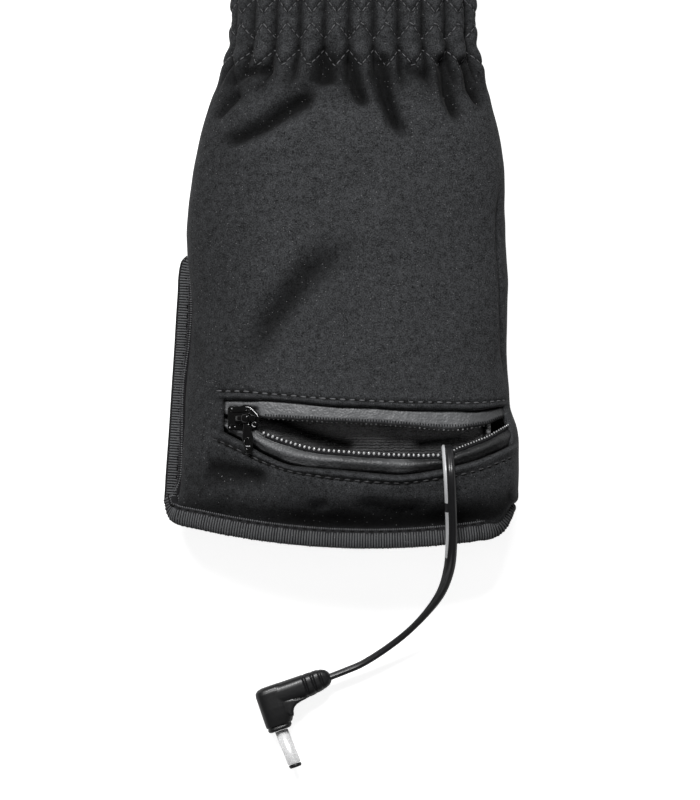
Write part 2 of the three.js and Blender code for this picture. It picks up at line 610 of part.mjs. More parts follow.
// Slider: two plates joined by a post between the coils, with a bridge for the puller. It is
// built with its zip along x and its top plate resting on the tapes, and then set on the cuff.
const zipSlope = (frontHeight(slider.x + 2, slider.y) - frontHeight(slider.x - 2, slider.y)) / 4;
const sliderFrame = new THREE.Matrix4()
  .makeTranslation(slider.x, slider.y, frontHeight(slider.x, slider.y))
  .multiply(new THREE.Matrix4().makeRotationY(-Math.atan(zipSlope)))
  .multiply(new THREE.Matrix4().makeTranslation(0, 0, gap - tape.inset));
const onSlider = (geometry) => solidOf(geometry.applyMatrix4(sliderFrame));
function flatShape(outline, low, thickness) {
  const shape = new THREE.Shape(outline.map(([x, y]) => new THREE.Vector2(x, y)));
  return new THREE.ExtrudeGeometry(shape, { depth: thickness, bevelEnabled: false }).translate(0, 0, low);
}
const block = (x, z, width, depth, height) =>
  new THREE.BoxGeometry(width, depth, height).translate(x, 0, z);
const halfPlate = [
  [-slider.length / 2, slider.width * 0.36],
  [-slider.length / 2 + 1.2, slider.width / 2 - 0.4],
  [slider.length / 2 - 1.4, slider.width / 2],
  [slider.length / 2, slider.width / 2 - 1.4],
  [slider.length / 2 - 0.5, 0],
];
const plateOutline = [...halfPlate, ...halfPlate.slice(0, -1).reverse().map(([x, y]) => [x, -y])];
const sliderFoot = -(2 * gap + tape.thickness + 2 * gap + 2 * coilRadius + slider.plate);
const bridgeZ = slider.plate + bridge.rise;
const barGeometry = new THREE.CylinderGeometry(bridge.bar, bridge.bar, bridge.span, 8);
const legHeight = bridge.rise + bridge.bar + bridge.sunk;
const legZ = slider.plate - bridge.sunk + legHeight / 2;
const legX = (bridge.span - bridge.leg) / 2;
const leg = (side) => block(side * legX, legZ, bridge.leg, bridge.legDepth, legHeight);
const postZ = (sliderFoot + slider.plate) / 2;
const post = block(sliderPost.x, postZ, sliderPost.width, sliderPost.depth, slider.plate - sliderFoot);
const plates = [0, sliderFoot].map((low) => flatShape(plateOutline, low, slider.plate));
const bar = barGeometry.rotateZ(PI / 2).translate(0, 0, bridgeZ);
const sliderSolid = [...plates, bar, leg(-1), leg(1), post]
  .map(onSlider)
  .reduce((whole, piece) => whole.add(piece));
addPiece("zip_slider", sliderSolid, materials.blackMetal);

// Puller: an eye round the bridge's bar and a tab that lies across the lower welt
function eyeGeometry() {
  const ring = new THREE.Shape().absarc(0, 0, puller.eyeRadius, 0, 2 * PI);
  ring.holes.push(new THREE.Path().absarc(0, 0, puller.eyeBore, 0, 2 * PI, true));
  return new THREE.ExtrudeGeometry(ring, { depth: puller.eyeLength, bevelEnabled: false, curveSegments: 6 })
    .translate(0, 0, -puller.eyeLength / 2)
    .rotateY(PI / 2)
    .translate(0, 0, bridgeZ);
}
const halfTab = [[0.36, 0], [0.5, 2.4], [0.5, puller.length - 1], [0.3, puller.length]];
const tabTop = -puller.eyeRadius + 0.2;
const tabOutline = [...halfTab, ...halfTab.map(([x, y]) => [-x, y]).reverse()].map(([side, down]) => [
  side * puller.width,
  tabTop - down,
]);
const tab = flatShape(tabOutline, bridgeZ - puller.thickness / 2, puller.thickness);
addPiece("zip_puller", onSlider(eyeGeometry()).add(onSlider(tab)), materials.blackMetal);

// Power lead: a flat twin lead
const leadCurve = new THREE.CatmullRomCurve3(leadRoute.map((p) => new THREE.Vector3(...p)));
const leadSection = new THREE.Shape(
  Array.from({ length: 8 }, (_, i) => {
    const angle = ((i + 0.5) / 8) * 2 * PI;
    return new THREE.Vector2((lead.width / 2) * cos(angle), (lead.thickness / 2) * sin(angle));
  }),
);
addPiece(
  "power_lead",
  solidOf(new THREE.ExtrudeGeometry(leadSection, { steps: lead.steps, extrudePath: leadCurve })),
  materials.rubber,
);

// Plug: built with its arm along +X and its barrel along -Y, then turned
const plugFrame = new THREE.Matrix4()
  .makeTranslation(plug.elbowX, plug.elbowY, plug.height)
  .multiply(new THREE.Matrix4().makeRotationZ(THREE.MathUtils.degToRad(plug.turn)));
const turned = (profile, turn) => {
  const outline = profile.map(([r, at]) => new THREE.Vector2(r, at));
  return solidOf(new THREE.LatheGeometry(outline, plug.sides).applyMatrix4(turn).applyMatrix4(plugFrame));
};
const downBarrel = new THREE.Matrix4().makeRotationZ(PI);
const alongArm = new THREE.Matrix4().makeRotationZ(-PI / 2);

const headProfile = [
  [0, -plugHead.back],
  [plugHead.radius - 1.3, -plugHead.back],
  [plugHead.radius, -plugHead.back + 1.5],
  [plugHead.radius, plugHead.front - 1.6],
  [plugHead.radius - 0.35, plugHead.front - 1.4],
  [plugHead.radius - 0.35, plugHead.front - 0.9],
  [plugHead.radius - 0.1, plugHead.front - 0.7],
  [plugHead.radius - 0.3, plugHead.front + plugHead.collar],
  [0, plugHead.front + plugHead.collar],
];
const armProfile = [
  [0, 0],
  [plugArm.radius, 0],
  [plugArm.radius, plugArm.ribsFrom],
];
for (let i = 0; i < plugArm.ribs; i++) {
  const at = plugArm.ribsFrom + i * plugArm.ribPitch;
  const radius = mix(plugArm.radius, plugArm.tipRadius, (i + 1) / plugArm.ribs) + 0.3;
  armProfile.push([radius - 0.7, at + 0.3], [radius - 0.7, at + 0.8], [radius, at + 1.1], [radius, at + 1.9]);
}
armProfile.push(
  [plugArm.tipRadius - 0.3, plugArm.end - 0.5],
  [plugArm.tipRadius - 0.9, plugArm.end],
  [0, plugArm.end],
);
addPiece("plug_body", turned(headProfile, downBarrel).add(turned(armProfile, alongArm)), materials.rubber);

const sleeveProfile = (from, to) => [
  [barrel.bore, from],
  [barrel.radius, from],
  [barrel.radius, to],
  [barrel.bore, to],
  [barrel.bore, from],
];
const barrelEnd = barrel.from + barrel.length;
addPiece("plug_barrel", turned(sleeveProfile(barrel.from, barrelEnd), downBarrel), materials.chrome);
addPiece(
  "plug_tip",
  turned(sleeveProfile(barrelEnd + gap, barrelEnd + gap + plugTip.length), downBarrel),
  materials.rubber,
);

export default glove;
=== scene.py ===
import math

import bmesh
import bpy
import numpy as np
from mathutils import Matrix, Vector


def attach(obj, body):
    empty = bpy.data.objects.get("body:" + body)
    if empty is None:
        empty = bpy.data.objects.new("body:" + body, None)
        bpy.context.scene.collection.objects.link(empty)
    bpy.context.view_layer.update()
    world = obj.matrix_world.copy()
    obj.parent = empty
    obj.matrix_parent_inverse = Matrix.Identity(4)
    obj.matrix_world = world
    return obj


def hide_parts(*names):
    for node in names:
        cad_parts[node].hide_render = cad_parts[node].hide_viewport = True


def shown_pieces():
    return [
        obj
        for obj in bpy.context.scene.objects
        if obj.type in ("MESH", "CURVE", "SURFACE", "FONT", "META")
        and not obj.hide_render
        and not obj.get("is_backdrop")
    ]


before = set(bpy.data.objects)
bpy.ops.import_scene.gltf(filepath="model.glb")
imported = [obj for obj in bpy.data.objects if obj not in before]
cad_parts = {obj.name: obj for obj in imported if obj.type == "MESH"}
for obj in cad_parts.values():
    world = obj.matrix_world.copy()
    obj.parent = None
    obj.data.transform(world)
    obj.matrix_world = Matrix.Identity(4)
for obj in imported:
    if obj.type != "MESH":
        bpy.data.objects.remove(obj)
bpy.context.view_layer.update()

print("frame loaded")

# All tables are in millimetres, x from the middle of the cuff and y from the lowest point of the hem.
# The object's own origin is this far from there.
patternOrigin = np.array([17.405, 166.445, 0.0])


upward = np.array([0, 0, 1.0])


def toFrame(points):
    return (np.asarray(points, float) - patternOrigin) / 1000


def ramp(low, high, value):
    t = np.clip((value - low) / (high - low), 0, 1)
    return t * t * (3 - 2 * t)


def bump(value, width):
    return np.exp(-((value / width) ** 2))


def circle(count):
    return np.linspace(0, 2 * math.pi, count, endpoint=False)


def unit(vectors):
    return vectors / np.linalg.norm(vectors, axis=-1, keepdims=True)


def squared(turn, power):
    # a place on the outline of a circle that is drawn out towards a square
    c, u = np.cos(turn), np.sin(turn)
    return np.sign(c) * np.abs(c) ** power, np.sign(u) * np.abs(u) ** power


def smoothTable(rows):
    # columns drawn as smooth curves through the rows, by the first column
    table = np.array(rows, float)
    keys = table[:, 0]
    before = np.maximum(np.arange(len(keys)) - 1, 0)
    after = np.minimum(np.arange(len(keys)) + 1, len(keys) - 1)
    slopes = (table[after, 1:] - table[before, 1:]) / (keys[after] - keys[before])[:, None]

    def at(place):
        place = np.asarray(place, float)
        i = np.clip(np.searchsorted(keys, place) - 1, 0, len(keys) - 2)
        span = keys[i + 1] - keys[i]
        t = np.clip((place - keys[i]) / span, 0, 1)
        found = []
        for column in range(1, table.shape[1]):
            a, b = table[i, column], table[i + 1, column]
            sa, sb = slopes[i, column - 1] * span, slopes[i + 1, column - 1] * span
            found.append(
                a + (b - a) * (3 - 2 * t) * t * t + (t**3 - 2 * t**2 + t) * sa + (t**3 - t**2) * sb
            )
        return found

    return at


# Camera: straight over the glove, framed as a view 208 mm high
camera = {"height": 2.0, "lookAt": (2.08, 38.48, 20.0), "frameHeight": 0.208, "sensor": 36.0}


def makeCamera(size):
    data = bpy.data.cameras.new("camera")
    data.sensor_width = size["sensor"]
    data.lens = size["sensor"] * size["height"] / size["frameHeight"]
    data.clip_end = 20
    view = bpy.data.objects.new("camera", data)
    bpy.context.collection.objects.link(view)
    x, y, z = toFrame(size["lookAt"])
    view.location = (x, y, z + size["height"])
    bpy.context.scene.camera = view


makeCamera(camera)


studio = {
    # name, place, size, power, and whether the light glints on the glove
    "lights": [
        ("keyFromFingers", (-0.3, 0.95, 1.45), (0.8, 0.5), 36, True),
        ("sparkFromFingers", (0.25, 1.2, 1.7), (0.16, 0.16), 5, True),
        ("fillFromLeft", (-1.4, -0.2, 0.8), (0.5, 0.9), 2.8, False),
        ("fillFromRight", (1.4, -0.1, 0.9), (0.5, 0.9), 1.5, False),
        ("rimFromHem", (0.1, -1.4, 0.7), (1.0, 0.4), 0.6, False),
        ("overheadPanel", (0, -0.1, 2.6), (1.2, 1.2), 3, False),
    ],
    "middle": (0, -0.1, 0), "air": 0.05, "floorGlow": 0.85, "floorSize": 6, "floorDrop": 0.0004,
}


def makeLight(name, place, size, power, glints, target):
    data = bpy.data.lights.new(name, "AREA")
    data.shape = "RECTANGLE"
    data.size, data.size_y = size
    data.energy = power
    lamp = bpy.data.objects.new(name, data)
    bpy.context.collection.objects.link(lamp)
    lamp.location = place
    lamp.visible_glossy = glints
    aim = Vector(target) - Vector(place)
    lamp.rotation_euler = aim.to_track_quat("-Z", "Y").to_euler()


def setInputs(node, values):
    for key, value in values.items():
        node.inputs[key].default_value = value


def makeStudio(look):
    for light in look["lights"]:
        makeLight(*light, look["middle"])
    world = bpy.data.worlds.new("studio")
    world.use_nodes = True
    setInputs(world.node_tree.nodes["Background"], {"Color": (1, 1, 1, 1), "Strength": look["air"]})
    bpy.context.scene.world = world
    bpy.context.scene.view_settings.view_transform = "Standard"
    bpy.ops.mesh.primitive_plane_add(size=look["floorSize"], location=(0, 0, -look["floorDrop"]))
    floor = bpy.context.object
    floor.name = "floor"
    pale = bpy.data.materials.new("paleFloor")
    pale.use_nodes = True
    shader = pale.node_tree.nodes["Principled BSDF"]
    setInputs(shader, {"Base Color": (0.6, 0.6, 0.6, 1), "Roughness": 0.9, "Emission Color": (1, 1, 1, 1)})
    # the floor looks lit from within, and throws none of that light on the glove
    path = pale.node_tree.nodes.new("ShaderNodeLightPath")
    glow = pale.node_tree.nodes.new("ShaderNodeMath")
    glow.operation = "MULTIPLY"
    glow.inputs[1].default_value = look["floorGlow"]
    pale.node_tree.links.new(path.outputs["Is Camera Ray"], glow.inputs[0])
    pale.node_tree.links.new(glow.outputs[0], shader.inputs["Emission Strength"])
    floor.data.materials.append(pale)
    floor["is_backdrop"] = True


makeStudio(studio)
print("camera, lights and floor made")


# Shader groups that several finishes share
def groupNode(tree, kind, **values):
    node = tree.nodes.new(kind)
    for key, value in values.items():
        if isinstance(value, (int, float, str, bool)) and hasattr(node, key):
            setattr(node, key, value)
        else:
            node.inputs[key].default_value = value
    return node


def makeClothGrain():
    # heathered yarns, small cloudy patches and stray specks of lint
    group = bpy.data.node_groups.new("clothGrain", "ShaderNodeTree")
    face = group.interface
    for name, kind, value in [
        ("Vector", "NodeSocketVector", None),
        ("Grain Scale", "NodeSocketFloat", 3200.0),
        ("Contrast", "NodeSocketFloat", 0.5),
        ("Lint Scale", "NodeSocketFloat", 330.0),
    ]:
        socket = face.new_socket(name, in_out="INPUT", socket_type=kind)
        if value is not None:
            socket.default_value = value
    for name in ("Shade", "Lint", "Height"):
        face.new_socket(name, in_out="OUTPUT", socket_type="NodeSocketFloat")
    link = group.links.new
    start = group.nodes.new("NodeGroupInput")
    end = group.nodes.new("NodeGroupOutput")
    yarn = groupNode(group, "ShaderNodeTexNoise", Detail=2.0, Roughness=0.6)
    cloud = groupNode(group, "ShaderNodeTexNoise", Scale=700.0, Detail=3.0)
    link(start.outputs["Vector"], yarn.inputs["Vector"])
    link(start.outputs["Vector"], cloud.inputs["Vector"])
    link(start.outputs["Grain Scale"], yarn.inputs["Scale"])
    mixed = groupNode(group, "ShaderNodeMath", operation="MULTIPLY_ADD")
    mixed.inputs[1].default_value = 0.4
    link(cloud.outputs["Fac"], mixed.inputs[0])
    link(yarn.outputs["Fac"], mixed.inputs[2])
    centred = groupNode(group, "ShaderNodeMath", operation="SUBTRACT")
    centred.inputs[1].default_value = 0.7
    link(mixed.outputs[0], centred.inputs[0])
    scaled = groupNode(group, "ShaderNodeMath", operation="MULTIPLY_ADD")
    scaled.inputs[2].default_value = 1.0
    link(centred.outputs[0], scaled.inputs[0])
    link(start.outputs["Contrast"], scaled.inputs[1])
    link(scaled.outputs[0], end.inputs["Shade"])
    link(yarn.outputs["Fac"], end.inputs["Height"])
    speck = groupNode(group, "ShaderNodeTexVoronoi")
    link(start.outputs["Vector"], speck.inputs["Vector"])
    link(start.outputs["Lint Scale"], speck.inputs["Scale"])
    near = groupNode(group, "ShaderNodeMapRange")
    setInputs(near, {"From Min": 0.08, "From Max": 0.15, "To Min": 1.0, "To Max": 0.0})
    link(speck.outputs["Distance"], near.inputs["Value"])
    chosen = groupNode(group, "ShaderNodeMath", operation="GREATER_THAN")
    chosen.inputs[1].default_value = 0.72
    apart = group.nodes.new("ShaderNodeSeparateColor")
    link(speck.outputs["Color"], apart.inputs["Color"])
    link(apart.outputs[0], chosen.inputs[0])
    lint = groupNode(group, "ShaderNodeMath", operation="MULTIPLY")
    link(near.outputs["Result"], lint.inputs[0])
    link(chosen.outputs[0], lint.inputs[1])
    link(lint.outputs[0], end.inputs["Lint"])
    return group


def makeLeatherGrain():
    # the pebbles and fine creases of a coated tape
    group = bpy.data.node_groups.new("coatGrain", "ShaderNodeTree")
    face = group.interface
    face.new_socket("Vector", in_out="INPUT", socket_type="NodeSocketVector")
    scale = face.new_socket("Pebble Scale", in_out="INPUT", socket_type="NodeSocketFloat")
    scale.default_value = 1500
    face.new_socket("Height", in_out="OUTPUT", socket_type="NodeSocketFloat")
    face.new_socket("Shade", in_out="OUTPUT", socket_type="NodeSocketFloat")
    link = group.links.new
    start = group.nodes.new("NodeGroupInput")
    end = group.nodes.new("NodeGroupOutput")
    pebble = groupNode(group, "ShaderNodeTexVoronoi")
    crease = groupNode(group, "ShaderNodeTexNoise", Scale=420.0, Detail=4.0)
    link(start.outputs["Vector"], pebble.inputs["Vector"])
    link(start.outputs["Vector"], crease.inputs["Vector"])
    link(start.outputs["Pebble Scale"], pebble.inputs["Scale"])
    both = groupNode(group, "ShaderNodeMath", operation="MULTIPLY_ADD")
    both.inputs[1].default_value = 1.6
    link(crease.outputs["Fac"], both.inputs[0])
    link(pebble.outputs["Distance"], both.inputs[2])
    link(both.outputs[0], end.inputs["Height"])
    shade = groupNode(group, "ShaderNodeMath", operation="MULTIPLY_ADD")
    shade.inputs[1].default_value = 0.5
    shade.inputs[2].default_value = 0.75
    link(crease.outputs["Fac"], shade.inputs[0])
    link(shade.outputs[0], end.inputs["Shade"])
    return group


clothGrain = makeClothGrain()
coatGrain = makeLeatherGrain()


def startMaterial(name, colour, roughness, metallic=0.0):
    material = bpy.data.materials.new(name)
    material.use_nodes = True
    shader = material.node_tree.nodes["Principled BSDF"]
    setInputs(shader, {"Base Color": (*colour, 1), "Roughness": roughness, "Metallic": metallic})
    place = material.node_tree.nodes.new("ShaderNodeTexCoord")
    return material, shader, place


def tinted(tree, colour, factor):
    # a colour made lighter or darker by a value that changes over the surface
    scale = groupNode(tree, "ShaderNodeVectorMath", operation="SCALE")
    scale.inputs[0].default_value = colour
    tree.links.new(factor, scale.inputs["Scale"])
    return scale.outputs["Vector"]


def dimmedByPaintedShade(tree, share):
    # painted shade: the colour is darkened by the painted-shade attribute, most at the bottoms of folds and
    # wherever else little light comes
    paintedShade = tree.nodes.new("ShaderNodeAttribute")
    paintedShade.attribute_name = "paintedShade"
    dimmed = groupNode(tree, "ShaderNodeMath", operation="MULTIPLY_ADD")
    dimmed.inputs[1].default_value = -share
    dimmed.inputs[2].default_value = 1.0
    tree.links.new(paintedShade.outputs["Fac"], dimmed.inputs[0])
    return dimmed.outputs[0]


def clothMaterial(name, look):
    material, shader, place = startMaterial(name, look["colour"], look["roughness"])
    tree = material.node_tree
    grain = tree.nodes.new("ShaderNodeGroup")
    grain.node_tree = clothGrain
    setInputs(grain, {
        "Grain Scale": look["grainScale"], "Contrast": look["contrast"], "Lint Scale": look["lintScale"],
    })
    tree.links.new(place.outputs["Object"], grain.inputs["Vector"])
    # the yarns' tone times the painted shade
    both = groupNode(tree, "ShaderNodeMath", operation="MULTIPLY")
    tree.links.new(grain.outputs["Shade"], both.inputs[0])
    tree.links.new(dimmedByPaintedShade(tree, look["paintedShadeStrength"]), both.inputs[1])
    body = tinted(tree, look["colour"], both.outputs[0])
    linted = groupNode(tree, "ShaderNodeMix", data_type="RGBA")
    linted.inputs["B"].default_value = (*look["lintColour"], 1)
    tree.links.new(body, linted.inputs["A"])
    tree.links.new(grain.outputs["Lint"], linted.inputs["Factor"])
    tree.links.new(linted.outputs["Result"], shader.inputs["Base Color"])
    relief = groupNode(tree, "ShaderNodeBump", Strength=look["bumpStrength"], Distance=look["bumpDistance"])
    tree.links.new(grain.outputs["Height"], relief.inputs["Height"])
    tree.links.new(relief.outputs["Normal"], shader.inputs["Normal"])
    setInputs(shader, {
        "Sheen Weight": look["sheen"], "Sheen Roughness": 0.4, "Specular IOR Level": look["specular"],
    })
    return material


def knitMaterial(name, look):
    material = clothMaterial(name, look)
    tree = material.node_tree
    place = tree.nodes["Texture Coordinate"]
    wave = groupNode(tree, "ShaderNodeTexWave", Scale=look["ribScale"], Distortion=5.0, Detail=3.0)
    wave.bands_direction = "Y"
    wave.inputs["Detail Scale"].default_value = 3
    tree.links.new(place.outputs["Object"], wave.inputs["Vector"])
    ribs = groupNode(tree, "ShaderNodeBump", Strength=0.8, Distance=look["ribDistance"])
    tree.links.new(wave.outputs["Fac"], ribs.inputs["Height"])
    tree.links.new(ribs.outputs["Normal"], tree.nodes["Bump"].inputs["Normal"])
    return material


def coatedMaterial(name, look):
    material, shader, place = startMaterial(name, look["colour"], look["roughness"])
    tree = material.node_tree
    grain = tree.nodes.new("ShaderNodeGroup")
    grain.node_tree = coatGrain
    grain.inputs["Pebble Scale"].default_value = look["pebbleScale"]
    tree.links.new(place.outputs["Object"], grain.inputs["Vector"])
    # the tapes' grain times their painted shade
    both = groupNode(tree, "ShaderNodeMath", operation="MULTIPLY")
    tree.links.new(grain.outputs["Shade"], both.inputs[0])
    tree.links.new(dimmedByPaintedShade(tree, 0.93), both.inputs[1])
    tree.links.new(tinted(tree, look["colour"], both.outputs[0]), shader.inputs["Base Color"])
    relief = groupNode(tree, "ShaderNodeBump", Strength=look["bumpStrength"], Distance=look["bumpDistance"])
    tree.links.new(grain.outputs["Height"], relief.inputs["Height"])
    tree.links.new(relief.outputs["Normal"], shader.inputs["Normal"])
    shader.inputs["Specular IOR Level"].default_value = look["specular"]
    return material


def highlightStripeMaterial(name, look):
    # a hard finish with a lighter stripe, a painted highlight
    material = hardMaterial(name, look)
    tree = material.node_tree
    shader = tree.nodes["Principled BSDF"]
    highlit = tree.nodes.new("ShaderNodeAttribute")
    highlit.attribute_name = "highlightStripe"
    sharp = groupNode(tree, "ShaderNodeMapRange")
    setInputs(sharp, {"From Min": 0.35, "From Max": 0.65})
    tree.links.new(highlit.outputs["Fac"], sharp.inputs["Value"])
    mixed = groupNode(tree, "ShaderNodeMix", data_type="RGBA")
    mixed.inputs["B"].default_value = (*look["highlightStripe"], 1)
    tree.links.new(shader.inputs["Base Color"].links[0].from_socket, mixed.inputs["A"])
    tree.links.new(sharp.outputs["Result"], mixed.inputs["Factor"])
    tree.links.new(mixed.outputs["Result"], shader.inputs["Base Color"])
    return material


def hardMaterial(name, look):
    material, shader, place = startMaterial(name, look["colour"], look["roughness"], look["metallic"])
    tree = material.node_tree
    smudge = groupNode(tree, "ShaderNodeTexNoise", Scale=look["smudgeScale"], Detail=4.0)
    tree.links.new(place.outputs["Object"], smudge.inputs["Vector"])
    rough = groupNode(tree, "ShaderNodeMapRange")
    setInputs(rough, {"To Min": look["roughness"] * 0.7, "To Max": look["roughness"] * 1.4})
    tree.links.new(smudge.outputs["Fac"], rough.inputs["Value"])
    tree.links.new(rough.outputs["Result"], shader.inputs["Roughness"])
    shade = groupNode(tree, "ShaderNodeMapRange")
    setInputs(shade, {"To Min": 0.85, "To Max": 1.15})
    tree.links.new(smudge.outputs["Fac"], shade.inputs["Value"])
    tree.links.new(tinted(tree, look["colour"], shade.outputs["Result"]), shader.inputs["Base Color"])
    relief = groupNode(tree, "ShaderNodeBump", Strength=0.25, Distance=look["bumpDistance"])
    tree.links.new(smudge.outputs["Fac"], relief.inputs["Height"])
    tree.links.new(relief.outputs["Normal"], shader.inputs["Normal"])
    setInputs(shader, {"Coat Weight": look["coat"], "Coat IOR": look.get("coatIor", 1.5)})
    return material


softshellLook = {
    "colour": (0.034, 0.035, 0.037), "roughness": 0.9, "specular": 0.15, "sheen": 0.04, "paintedShadeStrength": 0.9,
    "grainScale": 2900.0, "contrast": 3.7, "lintScale": 1300.0, "lintColour": (0.2, 0.2, 0.203),
    "bumpStrength": 0.4, "bumpDistance": 0.00015,
}
softshell = clothMaterial("softshell", softshellLook)
bindingCloth = clothMaterial("grosgrain", {
    **softshellLook, "colour": (0.075, 0.077, 0.08), "contrast": 1.2, "specular": 0.35, "roughness": 0.7,
    "sheen": 0.05,
})
threadCloth = clothMaterial("thread", {
    **softshellLook, "colour": (0.095, 0.096, 0.1), "contrast": 0.8, "specular": 0.4, "roughness": 0.55,
    "grainScale": 9000.0, "sheen": 0.0,
})
# a darker copy of the thread; on the window's lower row of stitches it is painted shade
dullThread = clothMaterial("dullThread", {
    **softshellLook, "colour": (0.05, 0.05, 0.052), "contrast": 1.2, "grainScale": 9000.0, "sheen": 0.0,
})
# near-black cloth: painted shade in the grooves between the bindings' ribs, and the own dark of the coil
# cores and the tape's marks
grooveCloth = clothMaterial("grosgrainGroove", {
    **softshellLook, "colour": (0.014, 0.014, 0.015), "contrast": 0.8, "sheen": 0.0,
})
# near black, painted shade: the needle holes between threads and the stitches sunk into the bindings
holeCloth = clothMaterial("needleHole", {
    **softshellLook, "colour": (0.006, 0.006, 0.006), "contrast": 0.3, "sheen": 0.0, "lintScale": 20.0,
})
fleece = clothMaterial("fleece", {
    **softshellLook, "colour": (0.022, 0.022, 0.023), "contrast": 1.6, "grainScale": 1500.0, "sheen": 0.4,
    "bumpStrength": 0.9, "bumpDistance": 0.0005,
})
# painted light: the knit is given a lighter colour than its own, in place of the light that doesn't reach
# deep into the pocket
liningKnit = knitMaterial("liningKnit", {
    **softshellLook, "colour": (0.17, 0.17, 0.173), "contrast": 1.6, "sheen": 0.1, "paintedShadeStrength": 0.95,
    "ribScale": 420.0, "ribDistance": 0.0003,
})
tapeCoat = coatedMaterial("coatedTape", {
    "colour": (0.12, 0.122, 0.126), "roughness": 0.48, "specular": 0.45, "pebbleScale": 1700.0,
    "bumpStrength": 0.5, "bumpDistance": 0.00025,
})
# painted highlight: the teeth are light grey in place of the glints on the tops of a black coil
glintingToothNylon = hardMaterial("glintingToothNylon", {
    "colour": (0.45, 0.45, 0.455), "roughness": 0.22, "metallic": 0.0, "smudgeScale": 2500.0,
    "bumpDistance": 0.000004, "coat": 0.8, "coatIor": 1.6,
})
blackEnamel = hardMaterial("blackEnamel", {
    "colour": (0.004, 0.004, 0.004), "roughness": 0.12, "metallic": 0.0, "smudgeScale": 900.0,
    "bumpDistance": 0.00006, "coat": 0.25,
})
# bright metal for painted glints on the black slider and puller
glintMetal = hardMaterial("glintMetal", {
    "colour": (0.55, 0.55, 0.56), "roughness": 0.4, "metallic": 0.5, "smudgeScale": 1800.0,
    "bumpDistance": 0.00001, "coat": 0.3,
})
leadRubber = highlightStripeMaterial("leadRubber", {
    "colour": (0.013, 0.013, 0.014), "roughness": 0.32, "metallic": 0.0, "smudgeScale": 1500.0,
    "bumpDistance": 0.00004, "coat": 0.1, "highlightStripe": (0.5, 0.505, 0.515),
})
plugRubber = hardMaterial("plugRubber", {
    "colour": (0.009, 0.009, 0.0095), "roughness": 0.38, "metallic": 0.0, "smudgeScale": 2600.0,
    "bumpDistance": 0.00005, "coat": 0.05,
})
# painted reflection: the chrome sleeve is mostly a white diffuse colour, in place of the bright surroundings
# it mirrors
chromeMetal = hardMaterial("chromeMetal", {
    "colour": (0.95, 0.95, 0.955), "roughness": 0.25, "metallic": 0.3, "smudgeScale": 1400.0,
    "bumpDistance": 0.000002, "coat": 0.0,
})
print("materials made")


# Mesh helpers
def shadeSmooth(mesh):
    mesh.polygons.foreach_set("use_smooth", [True] * len(mesh.polygons))


def newObject(name, points, faces, material):
    mesh = bpy.data.meshes.new(name)
    mesh.from_pydata(toFrame(points).tolist(), [], [tuple(int(i) for i in f) for f in faces])
    for each in material if isinstance(material, list) else [material]:
        mesh.materials.append(each)
    shadeSmooth(mesh)
    mesh.update()
    made = bpy.data.objects.new(name, mesh)
    bpy.context.collection.objects.link(made)
    return made


def gridFaces(rows, columns, closed=False, keep=None):
    faces = []
    spans = columns if closed else columns - 1
    for r in range(rows - 1):
        for c in range(spans):
            if keep is None or keep(r, c):
                d = (c + 1) % columns
                faces.append((r * columns + c, r * columns + d, (r + 1) * columns + d, (r + 1) * columns + c))
    return faces


def tubeFaces(count, n):
    # rings joined into a tube, with a face at each end
    ends = [tuple(range(n - 1, -1, -1)), tuple(range((count - 1) * n, count * n))]
    return gridFaces(count, n, closed=True) + ends


def pointsOf(mesh):
    # a mesh's points on the pattern, and their normals
    points, normals = np.empty(len(mesh.vertices) * 3), np.empty(len(mesh.vertices) * 3)
    mesh.vertices.foreach_get("co", points)
    mesh.vertices.foreach_get("normal", normals)
    return points.reshape(-1, 3) * 1000 + patternOrigin, normals.reshape(-1, 3)


def bake(piece):
    graph = bpy.context.evaluated_depsgraph_get()
    mesh = bpy.data.meshes.new_from_object(piece.evaluated_get(graph), depsgraph=graph)
    piece.modifiers.clear()
    piece.data = mesh
    return piece


def thicken(piece, thickness, inner=0):
    # a wall on the inner side of a face, with another of its materials if inner is set
    wall = piece.modifiers.new("wall", "SOLIDIFY")
    wall.thickness = thickness / 1000
    wall.offset = -1.0
    wall.use_even_offset = False
    wall.material_offset = inner
    return bake(piece)


def joinAs(name, parts):
    bpy.ops.object.select_all(action="DESELECT")
    for part in parts:
        part.select_set(True)
    bpy.context.view_layer.objects.active = parts[0]
    bpy.ops.object.join()
    whole = bpy.context.object
    whole.name = name
    whole.data.name = name
    return whole


def sweep(centres, sides, ups, profile, name, material):
    # a closed profile of (across, up) in millimetres carried along a path
    rings = [
        [centre + side * a + up * u for a, u in profile] for centre, side, up in zip(centres, sides, ups)
    ]
    return newObject(name, np.array(rings).reshape(-1, 3), tubeFaces(len(rings), len(profile)), material)


def pathFrames(points, up):
    # the ways ahead, to the side and up all along a path
    ahead = unit(np.gradient(points, axis=0))
    side = unit(np.cross(up, ahead))
    return ahead, side, np.cross(ahead, side)


def smoothPath(points, step):
    # a Catmull-Rom curve through the points, with evenly spaced samples
    p = np.asarray(points, float)
    p = np.vstack([2 * p[0] - p[1], p, 2 * p[-1] - p[-2]])
    fine = []
    for i in range(1, len(p) - 2):
        t = np.linspace(0, 1, 24, endpoint=False)[:, None]
        a, b, c, d = p[i - 1], p[i], p[i + 1], p[i + 2]
        bend, turn = 2 * a - 5 * b + 4 * c - d, 3 * b - a - 3 * c + d
        fine.append(0.5 * (2 * b + (c - a) * t + bend * t**2 + turn * t**3))
    fine = np.vstack([*fine, p[-2]])
    along = np.concatenate([[0], np.cumsum(np.linalg.norm(np.diff(fine, axis=0), axis=1))])
    places = np.linspace(0, along[-1], max(2, int(along[-1] / step) + 1))
    return np.stack([np.interp(places, along, fine[:, k]) for k in range(fine.shape[1])], axis=1)


